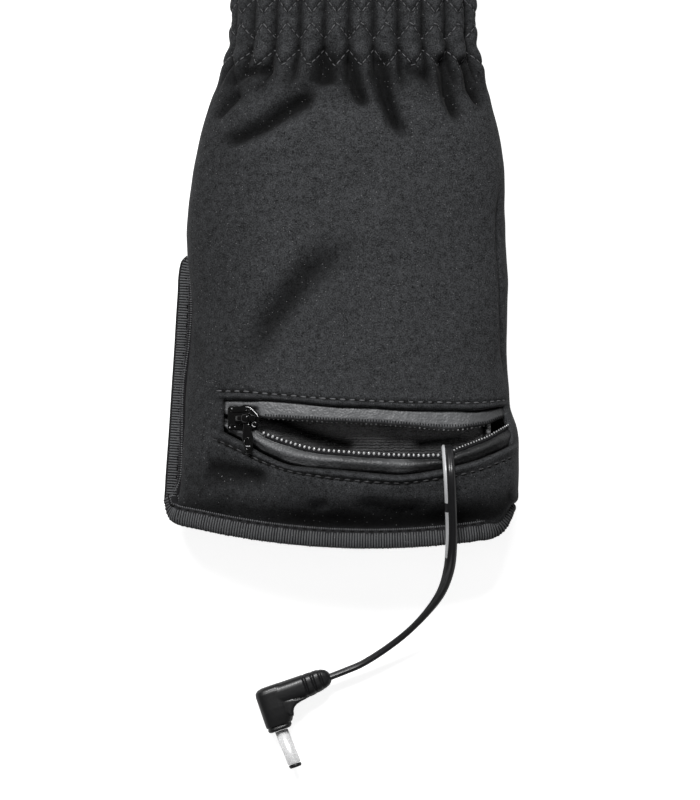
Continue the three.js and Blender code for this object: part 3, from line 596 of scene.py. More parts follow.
# Geometry nodes: one small piece repeated along a path, for stitches, teeth and ribs
def makeRowTree():
    tree = bpy.data.node_groups.new("piecesAlongPath", "GeometryNodeTree")
    face = tree.interface
    face.new_socket("Path", in_out="INPUT", socket_type="NodeSocketGeometry")
    for name, kind in [
        ("Piece", "NodeSocketObject"), ("Pitch", "NodeSocketFloat"), ("Uneven", "NodeSocketFloat"),
        ("Seed", "NodeSocketInt"), ("Finish", "NodeSocketMaterial"),
    ]:
        face.new_socket(name, in_out="INPUT", socket_type=kind)
    face.new_socket("Pieces", in_out="OUTPUT", socket_type="NodeSocketGeometry")
    new = tree.nodes.new
    start, end = new("NodeGroupInput"), new("NodeGroupOutput")
    curve = new("GeometryNodeMeshToCurve")
    spots = new("GeometryNodeCurveToPoints")
    spots.mode = "LENGTH"
    up = new("GeometryNodeInputNamedAttribute")
    up.data_type = "FLOAT_VECTOR"
    up.inputs["Name"].default_value = "up"
    turn = new("FunctionNodeAxesToRotation")
    turn.primary_axis = "X"
    turn.secondary_axis = "Z"
    piece = new("GeometryNodeObjectInfo")
    piece.inputs["As Instance"].default_value = True
    place = new("GeometryNodeInstanceOnPoints")
    size = new("FunctionNodeRandomValue")
    size.data_type = "FLOAT"
    least, most = new("ShaderNodeMath"), new("ShaderNodeMath")
    least.operation, most.operation = "SUBTRACT", "ADD"
    least.inputs[0].default_value = most.inputs[0].default_value = 1.0
    real = new("GeometryNodeRealizeInstances")
    finish = new("GeometryNodeSetMaterial")
    lowest, highest = [s for s in size.inputs if s.type == "VALUE" and s.enabled][:2]
    chosen = [s for s in size.outputs if s.type == "VALUE"][0]
    for source, target in [
        (start.outputs["Path"], curve.inputs["Mesh"]),
        (curve.outputs["Curve"], spots.inputs["Curve"]),
        (start.outputs["Pitch"], spots.inputs["Length"]),
        (spots.outputs["Points"], place.inputs["Points"]),
        (spots.outputs["Tangent"], turn.inputs["Primary Axis"]),
        (up.outputs["Attribute"], turn.inputs["Secondary Axis"]),
        (turn.outputs["Rotation"], place.inputs["Rotation"]),
        (start.outputs["Piece"], piece.inputs["Object"]),
        (piece.outputs["Geometry"], place.inputs["Instance"]),
        (start.outputs["Uneven"], least.inputs[1]),
        (start.outputs["Uneven"], most.inputs[1]),
        (start.outputs["Seed"], size.inputs["Seed"]),
        (least.outputs[0], lowest),
        (most.outputs[0], highest),
        (chosen, place.inputs["Scale"]),
        (place.outputs["Instances"], real.inputs["Geometry"]),
        (real.outputs["Geometry"], finish.inputs["Geometry"]),
        (start.outputs["Finish"], finish.inputs["Material"]),
        (finish.outputs["Geometry"], end.inputs["Pieces"]),
    ]:
        tree.links.new(source, target)
    return tree


rowTree = makeRowTree()
templates = []


def bead(name, length, width, height, turns=6, rings=4):
    # a small rounded grain that lies along the path
    points = []
    for lift in np.linspace(-math.pi / 2, math.pi / 2, rings + 1):
        girth = max(math.cos(lift), 0.08)
        for turn in circle(turns):
            points.append((
                math.sin(lift) * length / 2,
                girth * math.cos(turn) * width / 2, girth * math.sin(turn) * height / 2,
            ))
    return template(name, points, tubeFaces(rings + 1, turns))


def template(name, points, faces):
    mesh = bpy.data.meshes.new(name)
    mesh.from_pydata([tuple(v / 1000 for v in p) for p in points], [], faces)
    shadeSmooth(mesh)
    piece = bpy.data.objects.new(name, mesh)
    bpy.context.collection.objects.link(piece)
    templates.append(piece)
    return piece


def rowOf(name, piece, paths, pitch, material, uneven, seed):
    # paths is a list of (points, ups); all of them go into one mesh
    points, ups, edges = [], [], []
    for line, up in paths:
        first = len(points)
        points.extend(toFrame(line).tolist())
        ups.extend(np.asarray(up, float).tolist())
        edges.extend((first + i, first + i + 1) for i in range(len(line) - 1))
    mesh = bpy.data.meshes.new(name)
    mesh.from_pydata(points, edges, [])
    upAttribute = mesh.attributes.new("up", "FLOAT_VECTOR", "POINT")
    upAttribute.data.foreach_set("vector", np.array(ups, np.float32).ravel())
    row = bpy.data.objects.new(name, mesh)
    bpy.context.collection.objects.link(row)
    modifier = row.modifiers.new("pieces", "NODES")
    modifier.node_group = rowTree
    ids = {s.name: s.identifier for s in rowTree.interface.items_tree if s.in_out == "INPUT"}
    for key, value in [
        ("Piece", piece), ("Pitch", pitch / 1000), ("Uneven", uneven), ("Seed", seed), ("Finish", material),
    ]:
        modifier[ids[key]] = value
    bake(row)
    row.data.name = name
    return row


# Power lead: a flat twin lead that twists on its way to the plug
lead = {
    "width": 3.0, "core": 0.79, "apart": 0.74, "step": 0.45,
    "route": [
        (27.2, 12.6, 22.4), (27.2, 17, 22.8), (27.2, 21, 23.2), (27.2, 24.4, 24.8), (27.2, 26.1, 28),
        (27.3, 25.4, 31.2), (27.5, 22.6, 33.4), (27.7, 19.4, 34.6), (27.9, 15.6, 34), (28.1, 11, 31.8),
        (28.3, 6, 29), (28.3, 0, 26), (27.8, -5.4, 21.8), (26, -11.2, 16.2), (22.6, -16.4, 11.6),
        (17.6, -21.8, 8), (11.6, -26.6, 5.6), (5.5, -30.5, 4.3), (0.75, -32.57, 4), (-2.66, -33.9, 4),
        (-3.42, -34.2, 4),
    ],
    "twist": (0.38, 0.76, 120.0),  # from and to as shares of its length, and degrees
    # the painted highlight on the left core: from one angle to another round it, and where along y it shows
    "highlightStripe": {"angles": (88, 196), "runs": [(30, 12.2), (9.9, -2.5)]},
}


def makeLead(size):
    line = smoothPath(size["route"], size["step"])
    ahead = unit(np.gradient(line, axis=0))
    side = np.array([1.0, 0, 0])
    sides = []
    for tangent in ahead:
        side = unit(side - tangent * side.dot(tangent))
        sides.append(side)
    sides = np.array(sides)
    ups = np.cross(ahead, sides)
    start, stop, degrees = size["twist"]
    share = np.linspace(0, 1, len(line))
    angle = np.radians(degrees) * ramp(start, stop, share)
    turned = sides * np.cos(angle)[:, None] + ups * np.sin(angle)[:, None]
    over = np.cross(ahead, turned)
    # the outline of two round cores side by side, with flats on their outer shoulders
    outline, highlit = [], []
    low, high = size["highlightStripe"]["angles"]
    for centre, first in ((size["apart"], -128), (-size["apart"], 52)):
        for place in np.linspace(first, first + 256, 25):
            a = math.radians(place)
            flat = 1 - 0.1 * bump((place - first - 128) / 25 - 1.4, 0.8)
            outline.append((centre + flat * size["core"] * math.cos(a), flat * size["core"] * math.sin(a)))
            highlit.append(centre < 0 and low < place < high)
    piece = sweep(line, turned, over, outline, "powerLead", leadRubber)
    # painted highlight along the left core
    y = line[:, 1]
    shown = sum(((y < top) & (y > end)).astype(float) for top, end in size["highlightStripe"]["runs"])
    highlightStripe = piece.data.attributes.new("highlightStripe", "FLOAT", "POINT")
    highlightStripe.data.foreach_set("value", (shown[:, None] * np.array(highlit, float)).astype(np.float32).ravel())
    return line, piece


leadLine, powerLead = makeLead(lead)


# Plug: two arms in one moulding, then the metal sleeve and its tip. The rings say how far along
# the arm they stand, how far they reach up or left and down or right of its axis, and half their depth.
plug = {
    "elbow": (-18.26, -39.32, 4.0), "turn": 19.0, "square": 3.0, "voxel": 0.16,
    "head": [
        (-3.0, 2.2, 2.8, 2.3), (-2.75, 3.2, 3.4, 3.0), (-2.2, 3.95, 3.8, 3.5), (-1.3, 4.2, 4.0, 3.75),
        (3.0, 4.2, 4.1, 3.8), (5.0, 4.2, 4.05, 3.7), (5.9, 4.2, 3.8, 3.6), (6.9, 4.2, 3.3, 3.45),
        (7.5, 4.15, 2.95, 3.35), (7.6, 3.75, 2.5, 3.0), (7.9, 3.75, 2.4, 3.0), (8.05, 4.0, 2.6, 3.25),
        (8.6, 3.9, 2.3, 3.2), (8.9, 3.5, 1.8, 2.8),
    ],
    "arm": [
        (0.0, 3.0, 3.1, 3.75), (5.0, 3.0, 3.2, 3.7), (8.9, 3.0, 3.25, 3.35), (9.05, 2.92, 3.1, 2.55),
        (9.55, 2.92, 3.1, 2.5), (9.7, 3.0, 3.15, 3.15), (11.1, 3.0, 3.0, 3.0), (11.25, 2.9, 2.85, 2.3),
        (11.75, 2.9, 2.8, 2.25), (11.9, 3.0, 2.85, 2.95), (13.2, 2.95, 2.6, 2.75), (13.35, 2.8, 2.5, 2.1),
        (13.85, 2.75, 2.4, 2.05), (14.0, 2.8, 2.4, 2.5), (15.2, 2.3, 1.9, 2.1), (15.8, 1.7, 1.35, 1.6),
        (16.15, 1.0, 0.9, 0.9),
    ],
    # the web that fills the inner corner between the two arms, along the cord's arm and across it
    "gusset": [
        (3.0, -2.5), (8.6, -3.0), (8.3, -3.27), (6.9, -3.45), (5.5, -3.8), (4.6, -4.4), (4.05, -5.3),
        (3.8, -6.4), (3.0, -6.4),
    ],
    "slots": {"count": 4, "width": 1.3, "from": 9.6, "to": 14.1},
    # the sleeve stands a little to one side of the head's middle and leans back across it
    "aside": -0.66, "lean": 0.052, "leanFrom": 9,
    "barrel": 1.72, "bore": 0.75, "barrelFrom": 9.1, "barrelTo": 18.3, "tipFrom": 18.5, "tipTo": 19.4,
}


def loftRings(name, rings, material, closed=False):
    count, n = len(rings), len(rings[0])
    if closed:
        # the last ring joins the first
        last = (count - 1) * n
        faces = gridFaces(count, n, closed=True)
        faces += [(last + c, last + (c + 1) % n, (c + 1) % n, c) for c in range(n)]
    else:
        faces = tubeFaces(count, n)
    made = newObject(name, np.array(rings).reshape(-1, 3), faces, material)
    tidyNormals(made)
    return made


def tidyNormals(piece, merge=1e-7):
    form = bmesh.new()
    form.from_mesh(piece.data)
    bmesh.ops.remove_doubles(form, verts=form.verts, dist=merge)
    bmesh.ops.recalc_face_normals(form, faces=form.faces)
    form.to_mesh(piece.data)
    form.free()
    shadeSmooth(piece.data)


def plugAxes(arm):
    angle = math.radians(plug["turn"])
    along = np.array([math.cos(angle), math.sin(angle), 0])
    down = np.array([math.sin(angle), -math.cos(angle), 0])
    return (along, down) if arm else (down, along)


def plugRings(table, arm):
    axis, across = plugAxes(arm)
    c, u = squared(circle(44)[:, None], 2 / plug["square"])
    return [
        np.array(plug["elbow"]) + axis * place
        + ((more - less) / 2 + (more + less) / 2 * c) * across + deep * u * upward
        for place, less, more, deep in table
    ]


def sleeveRings(profile):
    axis, across = plugAxes(False)
    turn = circle(40)[:, None]
    return [
        np.array(plug["elbow"]) + axis * place
        + across * (plug["aside"] + plug["lean"] * (place - plug["leanFrom"]))
        + (across * np.cos(turn) + upward * np.sin(turn)) * radius
        for radius, place in profile
    ]


def makePlug():
    head = loftRings("plugHead", plugRings(plug["head"], False), plugRubber)
    arm = loftRings("plugArm", plugRings(plug["arm"], True), plugRubber)
    slots, axes, elbow = plug["slots"], plugAxes(True), np.array(plug["elbow"])
    webs = []
    for k in range(slots["count"]):
        # bridges between the rings of the strain relief, left and right and above and below in turn
        turn = math.pi / 4 + k * math.pi / 2
        out = axes[1] * math.cos(turn) + upward * math.sin(turn)
        side = np.cross(out, axes[0])
        rings = []
        for place, reach in ((slots["from"] - 0.8, 2.8), (slots["to"] + 0.6, 2.05)):
            middle = elbow + axes[0] * place
            corners = ((-1, 0), (1, 0), (1, reach), (-1, reach))
            rings.append([middle + side * a * slots["width"] / 2 + out * b for a, b in corners])
        webs.append(loftRings("web", rings, plugRubber))
    corner = []
    for z in (-3.5, -3.1, 3.1, 3.5):
        inset = 0.35 if abs(z) > 3.2 else 0
        corner.append([
            elbow + axes[0] * (along - inset) - axes[1] * (across + inset) + upward * z
            for along, across in plug["gusset"]
        ])
    webs.append(loftRings("gusset", corner, plugRubber))
    body = joinAs("plugBody", [head, arm, *webs])
    moulded = body.modifiers.new("moulded", "REMESH")
    moulded.mode = "VOXEL"
    moulded.voxel_size = plug["voxel"] / 1000
    soften = body.modifiers.new("soften", "SMOOTH")
    soften.iterations = 4
    bake(body)
    shadeSmooth(body.data)
    # the sleeve and the ring at its end have fine bevels
    r, b = plug["barrel"], plug["bore"]
    first, last = plug["barrelFrom"], plug["barrelTo"]
    sleeve = [(b, first), (r, first), (r, last - 0.25), (r - 0.04, last - 0.1), (r - 0.12, last), (b, last)]
    first, last = plug["tipFrom"], plug["tipTo"]
    ring = [
        (b, first), (r - 0.12, first), (r - 0.04, first + 0.1), (r - 0.04, last - 0.3), (r - 0.25, last),
        (b, last),
    ]
    barrel = loftRings("plugBarrel", sleeveRings(sleeve), chromeMetal, closed=True)
    tip = loftRings("plugTip", sleeveRings(ring), plugRubber, closed=True)
    return body, barrel, tip


plugBody, plugBarrel, plugTip = makePlug()
print("plug made")


# The glove's cloth is one surface round the cuff and the wrist, by its angle and its height on the pattern.
# Angle 0 is the thumb side and a quarter turn is the palm.
sections = smoothTable([
    # y, left, right, low, high, mid
    (0, -44.2, 41.7, 0.7, 26, 13),
    (2.45, -44.15, 43.6, 0.35, 27.4, 13.1),
    (3.6, -44.15, 45.3, 0.15, 28.1, 13.15),
    (5, -44.1, 45.9, 0, 28.8, 13.2),
    (10, -42.6, 46, -0.6, 31, 13.5),
    (24, -41.9, 46.3, -0.8, 33.2, 14),
    (31, -41.3, 45.7, -0.8, 33.4, 14),
    (37, -40.9, 43.6, -0.8, 33.6, 14),
    (62, -39.4, 43.2, -0.8, 33, 14),
    (84, -40.6, 42.8, -0.8, 32.6, 14),
    (104, -37.7, 41.6, -0.6, 32, 14.4),
    (117, -34, 38.6, 0.6, 29.6, 14.8),
    (126, -29.9, 35.6, 2.4, 27, 15),
    (134, -28.2, 34.2, 2.4, 26.6, 15),
    (160, -28.6, 35, 2.4, 27, 15),
    (172, -34, 40, 0.4, 31, 15.2),
    (195, -39.6, 45, -0.8, 34, 15.4),
    (222, -42.6, 46, -0.8, 32.4, 15),
    (238, -43.6, 46, -0.2, 29.6, 14.6),
    (250, -43.8, 46, 2.6, 26.4, 14.4),
    (257, -42, 44.6, 5.6, 23.2, 14.4),
    (290, -43, 45.6, 6, 24, 16),
    (334, -43, 45.6, 12, 28, 20.5),
])
palmPower, backPower = 2.2, 3.0
cloth = {
    "wall": 1.6, "top": 161.0, "hemDip": 0.0025, "hemLowX": 7.5, "hemBackRise": 4.0, "hemRow": 1.2,
    "cornerRise": 5.3, "cornerFrom": 37.5, "cornerReach": 5.9, "cornerPower": 3.6,
    "leftRise": 1.2, "leftFrom": -38.0, "leftReach": 5.0, "bentTo": 22, "seamAngle": 0.012,
}
# the sagging lip under the pocket's window: how high, where along y and how wide, and where along x it begins
lip = {"height": 3.6, "at": 19, "half": 9, "from": -27, "full": -6}
elastic = {
    "ribs": 23, "ribStart": math.pi / 2 + 0.1157, "ribsAt": 140.0, "puff": 1.35,
    "from": 125.2, "amplitude": 4.3, "rowPitch": 6.85, "rows": 5, "groove": 0.5, "slant": 0.62,
}

# Folds in the front, as paths with a half width and a depth; a negative depth is a ridge. Each fades
# out over these shares of its length, at its start and at its end.
foldEnds = (0.0, 0.3)
folds = [
    {"path": [(-19, 124.4), (-26.4, 122.8)], "half": 1.4, "depth": 2.0},
    {"path": [(-20, 120.8), (-28, 119.6)], "half": 1.8, "depth": -0.8},
    {"path": [(-28.6, 126), (-28.2, 119.6)], "half": 1.1, "depth": 1.8},
    {"path": [(-27.6, 117.4), (-30.6, 114.2), (-33.6, 111)], "half": 1.3, "depth": 1.8},
    {"path": [(-7.6, 120.4), (-9.4, 116.4), (-14.7, 113.3), (-20, 109.8), (-26.3, 106.7), (-33, 104.6)],
     "half": 2.2, "depth": 3.2, "ends": (0.2, 0.2)},
    {"path": [(-10.3, 123), (-20, 116), (-30.5, 110.5)], "half": 2.4, "depth": -0.9},
    {"path": [(-6.5, 111.4), (-19, 103), (-30, 100)], "half": 2.8, "depth": -0.6},
    {"path": [(-4, 126), (-4.4, 119.2)], "half": 3.4, "depth": 2.9, "ends": (0, 0.4)},
    {"path": [(2.2, 126), (3.8, 119), (6.6, 113.6)], "half": 1.9, "depth": 3.0},
    {"path": [(7, 124), (7.6, 114)], "half": 1.6, "depth": -0.6},
    {"path": [(10.1, 126), (11.4, 116.9), (13.7, 110.7), (18.2, 105.4)], "half": 2.1, "depth": 3.1},
    {"path": [(17.6, 124.4), (23.8, 121.6)], "half": 1.8, "depth": 1.8},
    {"path": [(19, 118), (22, 108)], "half": 3.2, "depth": -0.7},
    {"path": [(26.2, 126), (27.5, 117.8), (29.2, 113.4), (32, 110.2)], "half": 1.9, "depth": 3.2},
    {"path": [(30.4, 124), (30.6, 117)], "half": 1.2, "depth": -0.7},
    {"path": [(31.5, 126), (33.3, 119.6), (37.2, 113.6)], "half": 1.5, "depth": 2.6},
    {"path": [(36.8, 122.5), (38.1, 117.4)], "half": 1.2, "depth": 1.4},
    {"path": [(8, 77.5), (2.6, 77.2), (-4, 74.5), (-8.9, 70.7), (-13.9, 64.7), (-18.8, 58.7), (-23.1, 50.4),
              (-27, 43)], "half": 4.3, "depth": 2.3, "ends": (0.36, 0.4)},
    {"path": [(6, 74), (-4, 65), (-12, 55)], "half": 5.0, "depth": -0.4, "ends": (0.4, 0.5)},
    {"path": [(-36.4, 20), (-28, 19.2), (-18, 17.4)], "half": 3.0, "depth": 2.4, "ends": (0.12, 0.25)},
    {"path": [(-40, 58), (-37, 44)], "half": 2.6, "depth": 0.8, "ends": (0.4, 0.4)},
    {"path": [(41.4, 97), (40.7, 84), (41.1, 70), (42.1, 50), (42.9, 41)],
     "half": 0.6, "depth": 0.9, "ends": (0.15, 0.1)},
    {"path": [(2, 11.5), (14, 9.4), (24, 10.2)], "half": 2.6, "depth": 1.5, "ends": (0.3, 0.3)},
    {"path": [(-9, 9.5), (-3, 11.6)], "half": 2.0, "depth": 1.0, "ends": (0.3, 0.3)},
]

# The pocket's window and its two tapes: x, upper stitches, upper welt, upper tape's edge,
# lower tape's edge, lower welt, lower stitches
zipLines = smoothTable([
    (-33, 40.9, 38.2, 34.3, 33.9, 30.9, 28.2),
    (-30.9, 40.8, 38.5, 34.3, 33.6, 30.1, 27.4),
    (-25, 40.7, 38.4, 34.4, 32.2, 27.3, 24.6),
    (-20.5, 40.2, 38.5, 33.7, 29.8, 24.6, 22.4),
    (-14, 39.7, 38.1, 33.4, 27.7, 21.9, 20.2),
    (-7.5, 39.1, 37.5, 33.1, 26.2, 21.1, 19.0),
    (-1, 38.7, 36.9, 32.8, 25.5, 20.5, 18.1),
    (9, 38.2, 36.6, 32.4, 24.9, 19.5, 17.2),
    (16, 38.0, 36.1, 32.0, 24.5, 19.1, 17.0),
    (25, 37.9, 35.9, 31.3, 24.7, 20.5, 18.1),
    (30.5, 37.7, 35.9, 31.3, 26.5, 21.8, 19.1),
    (35, 37.8, 35.8, 31.8, 28.0, 23.1, 20.3),
    (38.2, 38.0, 36.0, 32.3, 29.1, 24.3, 21.3),
    (41.2, 38.3, 36.5, 33.6, 30.8, 25.6, 22.6),
    (45.5, 38.6, 36.9, 34.6, 33.2, 27.5, 24.2),
])
windowLeft, windowRight = -30.9, 44.35


def fieldOf(x, y, seed, size):
    # a smooth wavy field from a few sines, for the cloth's slight unevenness
    rng = np.random.default_rng(seed)
    total = np.zeros(np.broadcast(x, y).shape)
    for _ in range(7):
        angle, phase = rng.uniform(0, 2 * math.pi, 2)
        length = size * rng.uniform(0.6, 1.6)
        total += np.sin((x * math.cos(angle) + y * math.sin(angle)) * 2 * math.pi / length + phase)
    return total / 3.5


def foldNearness(x, y, fold):
    # 1 along the middle of a fold, falling to 0 away from it
    nearest = np.full(np.broadcast(x, y).shape, 1e9)
    share = np.zeros(nearest.shape)
    lengths = [math.dist(a, b) for a, b in zip(fold["path"], fold["path"][1:])]
    gone = 0
    for (x0, y0), (x1, y1), length in zip(fold["path"], fold["path"][1:], lengths):
        dx, dy = x1 - x0, y1 - y0
        t = np.clip(((x - x0) * dx + (y - y0) * dy) / length**2, 0, 1)
        away = np.hypot(x - x0 - t * dx, y - y0 - t * dy)
        share = np.where(away < nearest, (gone + t * length) / sum(lengths), share)
        nearest = np.minimum(nearest, away)
        gone += length
    start, end = fold.get("ends", foldEnds)
    faded = ramp(0, start, share) if start else 1
    faded = faded * (1 - ramp(1 - end, 1.0, share)) if end else faded
    return bump(nearest, fold["half"] * (1 - 0.3 * share)) * faded


def foldRelief(x, y, table):
    return -sum(fold["depth"] * foldNearness(x, y, fold) for fold in table)


def foldShade(x, y, table):
    shade = np.zeros(np.broadcast(x, y).shape)
    for fold in table:
        if fold["depth"] > 0:
            shade = np.maximum(shade, min(1, fold["depth"] / 2.8) * foldNearness(x, y, fold) ** 0.8)
    return shade


def lipRelief(x, y):
    return lip["height"] * bump(y - lip["at"], lip["half"]) * ramp(lip["from"], lip["full"], x)


def weltRelief(x, y):
    # the cloth is turned in at the window, puffed beside it and pulled down by its stitching
    stitchUp, weltUp, _, _, weltLow, stitchLow = zipLines(x)
    inside = ramp(windowLeft - 3, windowLeft, x)
    above, below = y - weltUp, weltLow - y
    relief = np.zeros(np.broadcast(x, y).shape)
    for away, stitch, turned in ((above, y - stitchUp, 0.5), (below, stitchLow - y, 0.75)):
        outer = away > -1.5
        relief += np.where(outer, -turned * bump(away, 0.5) + 0.45 * bump(away - 1.1, 0.7), 0) * inside
        relief += -0.6 * bump(stitch, 0.45) * inside
    beside = windowLeft - x
    level = ramp(29, 31, y) * (1 - ramp(37.5, 39.5, y))
    relief += (-0.6 * bump(beside, 0.5) + 0.25 * bump(beside - 1.3, 0.7)) * level * (beside > -1)
    return relief


def weltShade(x, y):
    stitchUp, weltUp, _, _, weltLow, stitchLow = zipLines(x)
    inside = ramp(windowLeft - 3, windowLeft, x)
    shade = 0.75 * np.maximum(bump(y - stitchUp, 0.42), bump(y - stitchLow, 0.42))
    shade = np.maximum(shade, 0.35 * bump(y - stitchLow + 0.9, 1.5) * ramp(9, 16, x))
    return np.maximum(shade, np.maximum(0.3 * bump(y - weltUp, 0.4), 0.7 * bump(y - weltLow, 0.4))) * inside


def ribPhase(angle):
    # the ribs stand at even distances round the wrist, which has uneven angles between them
    wrapped = (np.asarray(angle, float) + math.pi) % (2 * math.pi) - math.pi
    share = np.interp(wrapped, wristAngles, wristShares)
    return 2 * math.pi * elastic["ribs"] * (share - np.interp(elastic["ribStart"], wristAngles, wristShares))


def zigzag(angle, row):
    # height of one row of elastic stitches round the wrist
    phase = ribPhase(angle) + math.pi * row
    wave = np.arccos(np.clip(np.cos(phase), -1, 1)) / math.pi
    return elastic["from"] + row * elastic["rowPitch"] + elastic["amplitude"] * wave


def besideZigzag(angle, y, row):
    # how far a place is from a row of stitches, square to their slant
    return (y - zigzag(angle, row)) * elastic["slant"]


def ribShape(angle):
    # rounded ridges with sharp valleys between them, from 1 down to -1
    return 2 * np.abs(np.cos(ribPhase(angle) / 2)) ** 0.8 - 1


def ribRelief(angle, y):
    crossing = elastic["from"] + elastic["amplitude"] + 1.25
    level = np.abs((y - crossing + elastic["rowPitch"] / 2) % elastic["rowPitch"] - elastic["rowPitch"] / 2)
    band = ramp(119, 126.5, y)
    fade = 1 - ramp(158, 161, y)
    ribs = elastic["puff"] * ribShape(angle) * (1 - 0.45 * bump(level, 1.7) * ramp(127, 129, y))
    relief = ribs * band * (0.35 + 0.65 * fade)
    for row in range(elastic["rows"]):
        relief = relief - elastic["groove"] * bump(besideZigzag(angle, y, row), 0.55)
    return relief


def ribShade(angle, y):
    paintedShade = (0.5 - 0.5 * ribShape(angle)) ** 1.3 * ramp(117, 125, y)
    for row in range(elastic["rows"]):
        paintedShade = np.maximum(paintedShade, 0.6 * bump(besideZigzag(angle, y, row), 0.45))
    return paintedShade


def sectionPoint(angle, y, inset=0.0):
    left, right, low, high, mid = sections(y)
    above = np.sin(angle) >= 0
    across, up = squared(angle, 2 / np.where(above, palmPower, backPower))
    x = (left + right) / 2 + ((right - left) / 2 - inset) * across
    return x, mid + (np.where(above, high - mid, mid - low) - inset) * up


def sharesRound(y):
    # angles round the cloth at one height, and the share of the way round at which each lies
    angle = np.linspace(-math.pi, math.pi, 2881)
    x, z = sectionPoint(angle, np.full(len(angle), y))
    along = np.concatenate([[0], np.cumsum(np.hypot(np.diff(x), np.diff(z)))])
    return angle, along / along[-1]


wristAngles, wristShares = sharesRound(elastic["ribsAt"])


def clothBase(angle, y, inset=0.0):
    x, z = sectionPoint(angle, y, inset)
    rightCorner = np.clip((x - cloth["cornerFrom"]) / cloth["cornerReach"], 0, 1.0)
    leftCorner = np.clip((cloth["leftFrom"] - x) / cloth["leftReach"], 0, 1.1)
    hemY = (
        cloth["hemDip"] * (x - cloth["hemLowX"]) ** 2 + cloth["hemBackRise"] * np.maximum(0, -np.sin(angle))
        + cloth["cornerRise"] * rightCorner ** cloth["cornerPower"] + cloth["leftRise"] * leftCorner**2
    )
    bent = y + hemY * (1 - ramp(0, cloth["bentTo"], y))
    z = z + lipRelief(x, bent) * ramp(0, 0.35, np.sin(angle))
    z = np.where(np.sin(angle) < 0, np.maximum(z, 0.75 * (1 - ramp(6, 16, y)) + 0.1 + inset), z)
    return np.stack(np.broadcast_arrays(x, bent, z), axis=-1)


def clothNormal(angle, y, inset=0.0):
    around = clothBase(angle + 0.01, y, inset) - clothBase(angle - 0.01, y, inset)
    along = clothBase(angle, y + 0.3, inset) - clothBase(angle, y - 0.3, inset)
    normal = np.cross(along, around)
    return normal / np.maximum(np.linalg.norm(normal, axis=-1, keepdims=True), 1e-9)


def hemFall(x):
    # how far the front falls behind the binding, most in the middle and on the right
    return 1.2 + 1.2 * ramp(-30, -2, x) - 0.8 * ramp(30, 42, x)


def onFront(angle):
    return ramp(0.02, 0.4, np.sin(angle))


def unevenness(x, y):
    return 0.22 * fieldOf(x, y, 5, 26) + 0.06 * fieldOf(x, y, 9, 9)


def paintedShadeAt(angle, y):
    # painted shade on the cloth, from 0 to 1: in the bottoms of folds, between the ribs and along the
    # zigzags, beside the welts and stitches, and above the hem
    angle, y = np.broadcast_arrays(np.asarray(angle, float), np.asarray(y, float))
    base = clothBase(angle, y)
    x, bent = base[..., 0], base[..., 1]
    front = onFront(angle)
    shade = np.maximum(foldShade(x, bent, folds) * front, ribShade(angle, y))
    shade = 1 - (1 - shade) ** (1 + 1.1 * bump(y - 119, 9))
    shade = np.maximum(shade, weltShade(x, bent) * front)
    hem = (0.45 + 0.25 * hemFall(x)) * ramp(1.8, 4.8, y) * (1 - ramp(6, 13.5, y))
    shade = np.maximum(shade, hem * front)
    # painted shade, darker at the upper end and towards the little finger's side, where less light comes, and
    # low down towards that side
    dim = 0.4 * bump(y - 121.5, 5) + 0.3 * (1 - ramp(-32, -16, x))
    dim = dim + 0.25 * bump(y - 16, 6) * (1 - ramp(-16, 4, x))
    return np.clip(shade + (1 - shade) * np.minimum(dim, 0.8) * front, 0, 1)


def paintShade(piece, values):
    # painted shade: how far each point's colour is darkened, kept in an attribute that the finishes read
    layer = piece.data.attributes.new("paintedShade", "FLOAT", "POINT")
    layer.data.foreach_set("value", np.asarray(values, np.float32).ravel())


def clothAt(angle, y, lift=0.0):
    # a point of the outer face with its folds, and the way out of the cloth there
    angle, y = np.broadcast_arrays(np.asarray(angle, float), np.asarray(y, float))
    base = clothBase(angle, y)
    normal = clothNormal(angle, y)
    x, bent = base[..., 0], base[..., 1]
    front = onFront(angle)
    relief = foldRelief(x, bent, folds) * front + ribRelief(angle, y)
    calm = 1 - 0.75 * ramp(124, 127, y)
    relief += unevenness(x, bent) * calm + weltRelief(x, bent) * front
    gathers = np.cos(ribPhase(angle)) * ramp(104, 122, y) * (1 - ramp(122, 126, y))
    relief += 0.7 * gathers * ramp(0, 0.3, -np.sin(angle))
    relief += 0.45 * gathers * front * ramp(112, 122, y)
    relief -= hemFall(x) * ramp(1.8, 4.8, y) * (1 - ramp(4.8, 14, y)) * ramp(0.25, 0.6, np.sin(angle))
    point = base + normal * (relief + lift)[..., None]
    point[..., 2] = np.maximum(point[..., 2], 0.05)
    return point, normal


def angleFor(x, y):
    left, right = sections(y)[:2]
    share = np.clip((np.asarray(x, float) - (left + right) / 2) / ((right - left) / 2), -1, 1)
    return np.arccos(np.sign(share) * np.abs(share) ** (palmPower / 2))


def graded(spans):
    # numbers from runs of (from, to, step)
    found = [spans[0][0]]
    for low, high, step in spans:
        count = max(1, round((high - low) / step))
        found.extend(np.linspace(low, high, count + 1)[1:])
    return np.array(found)


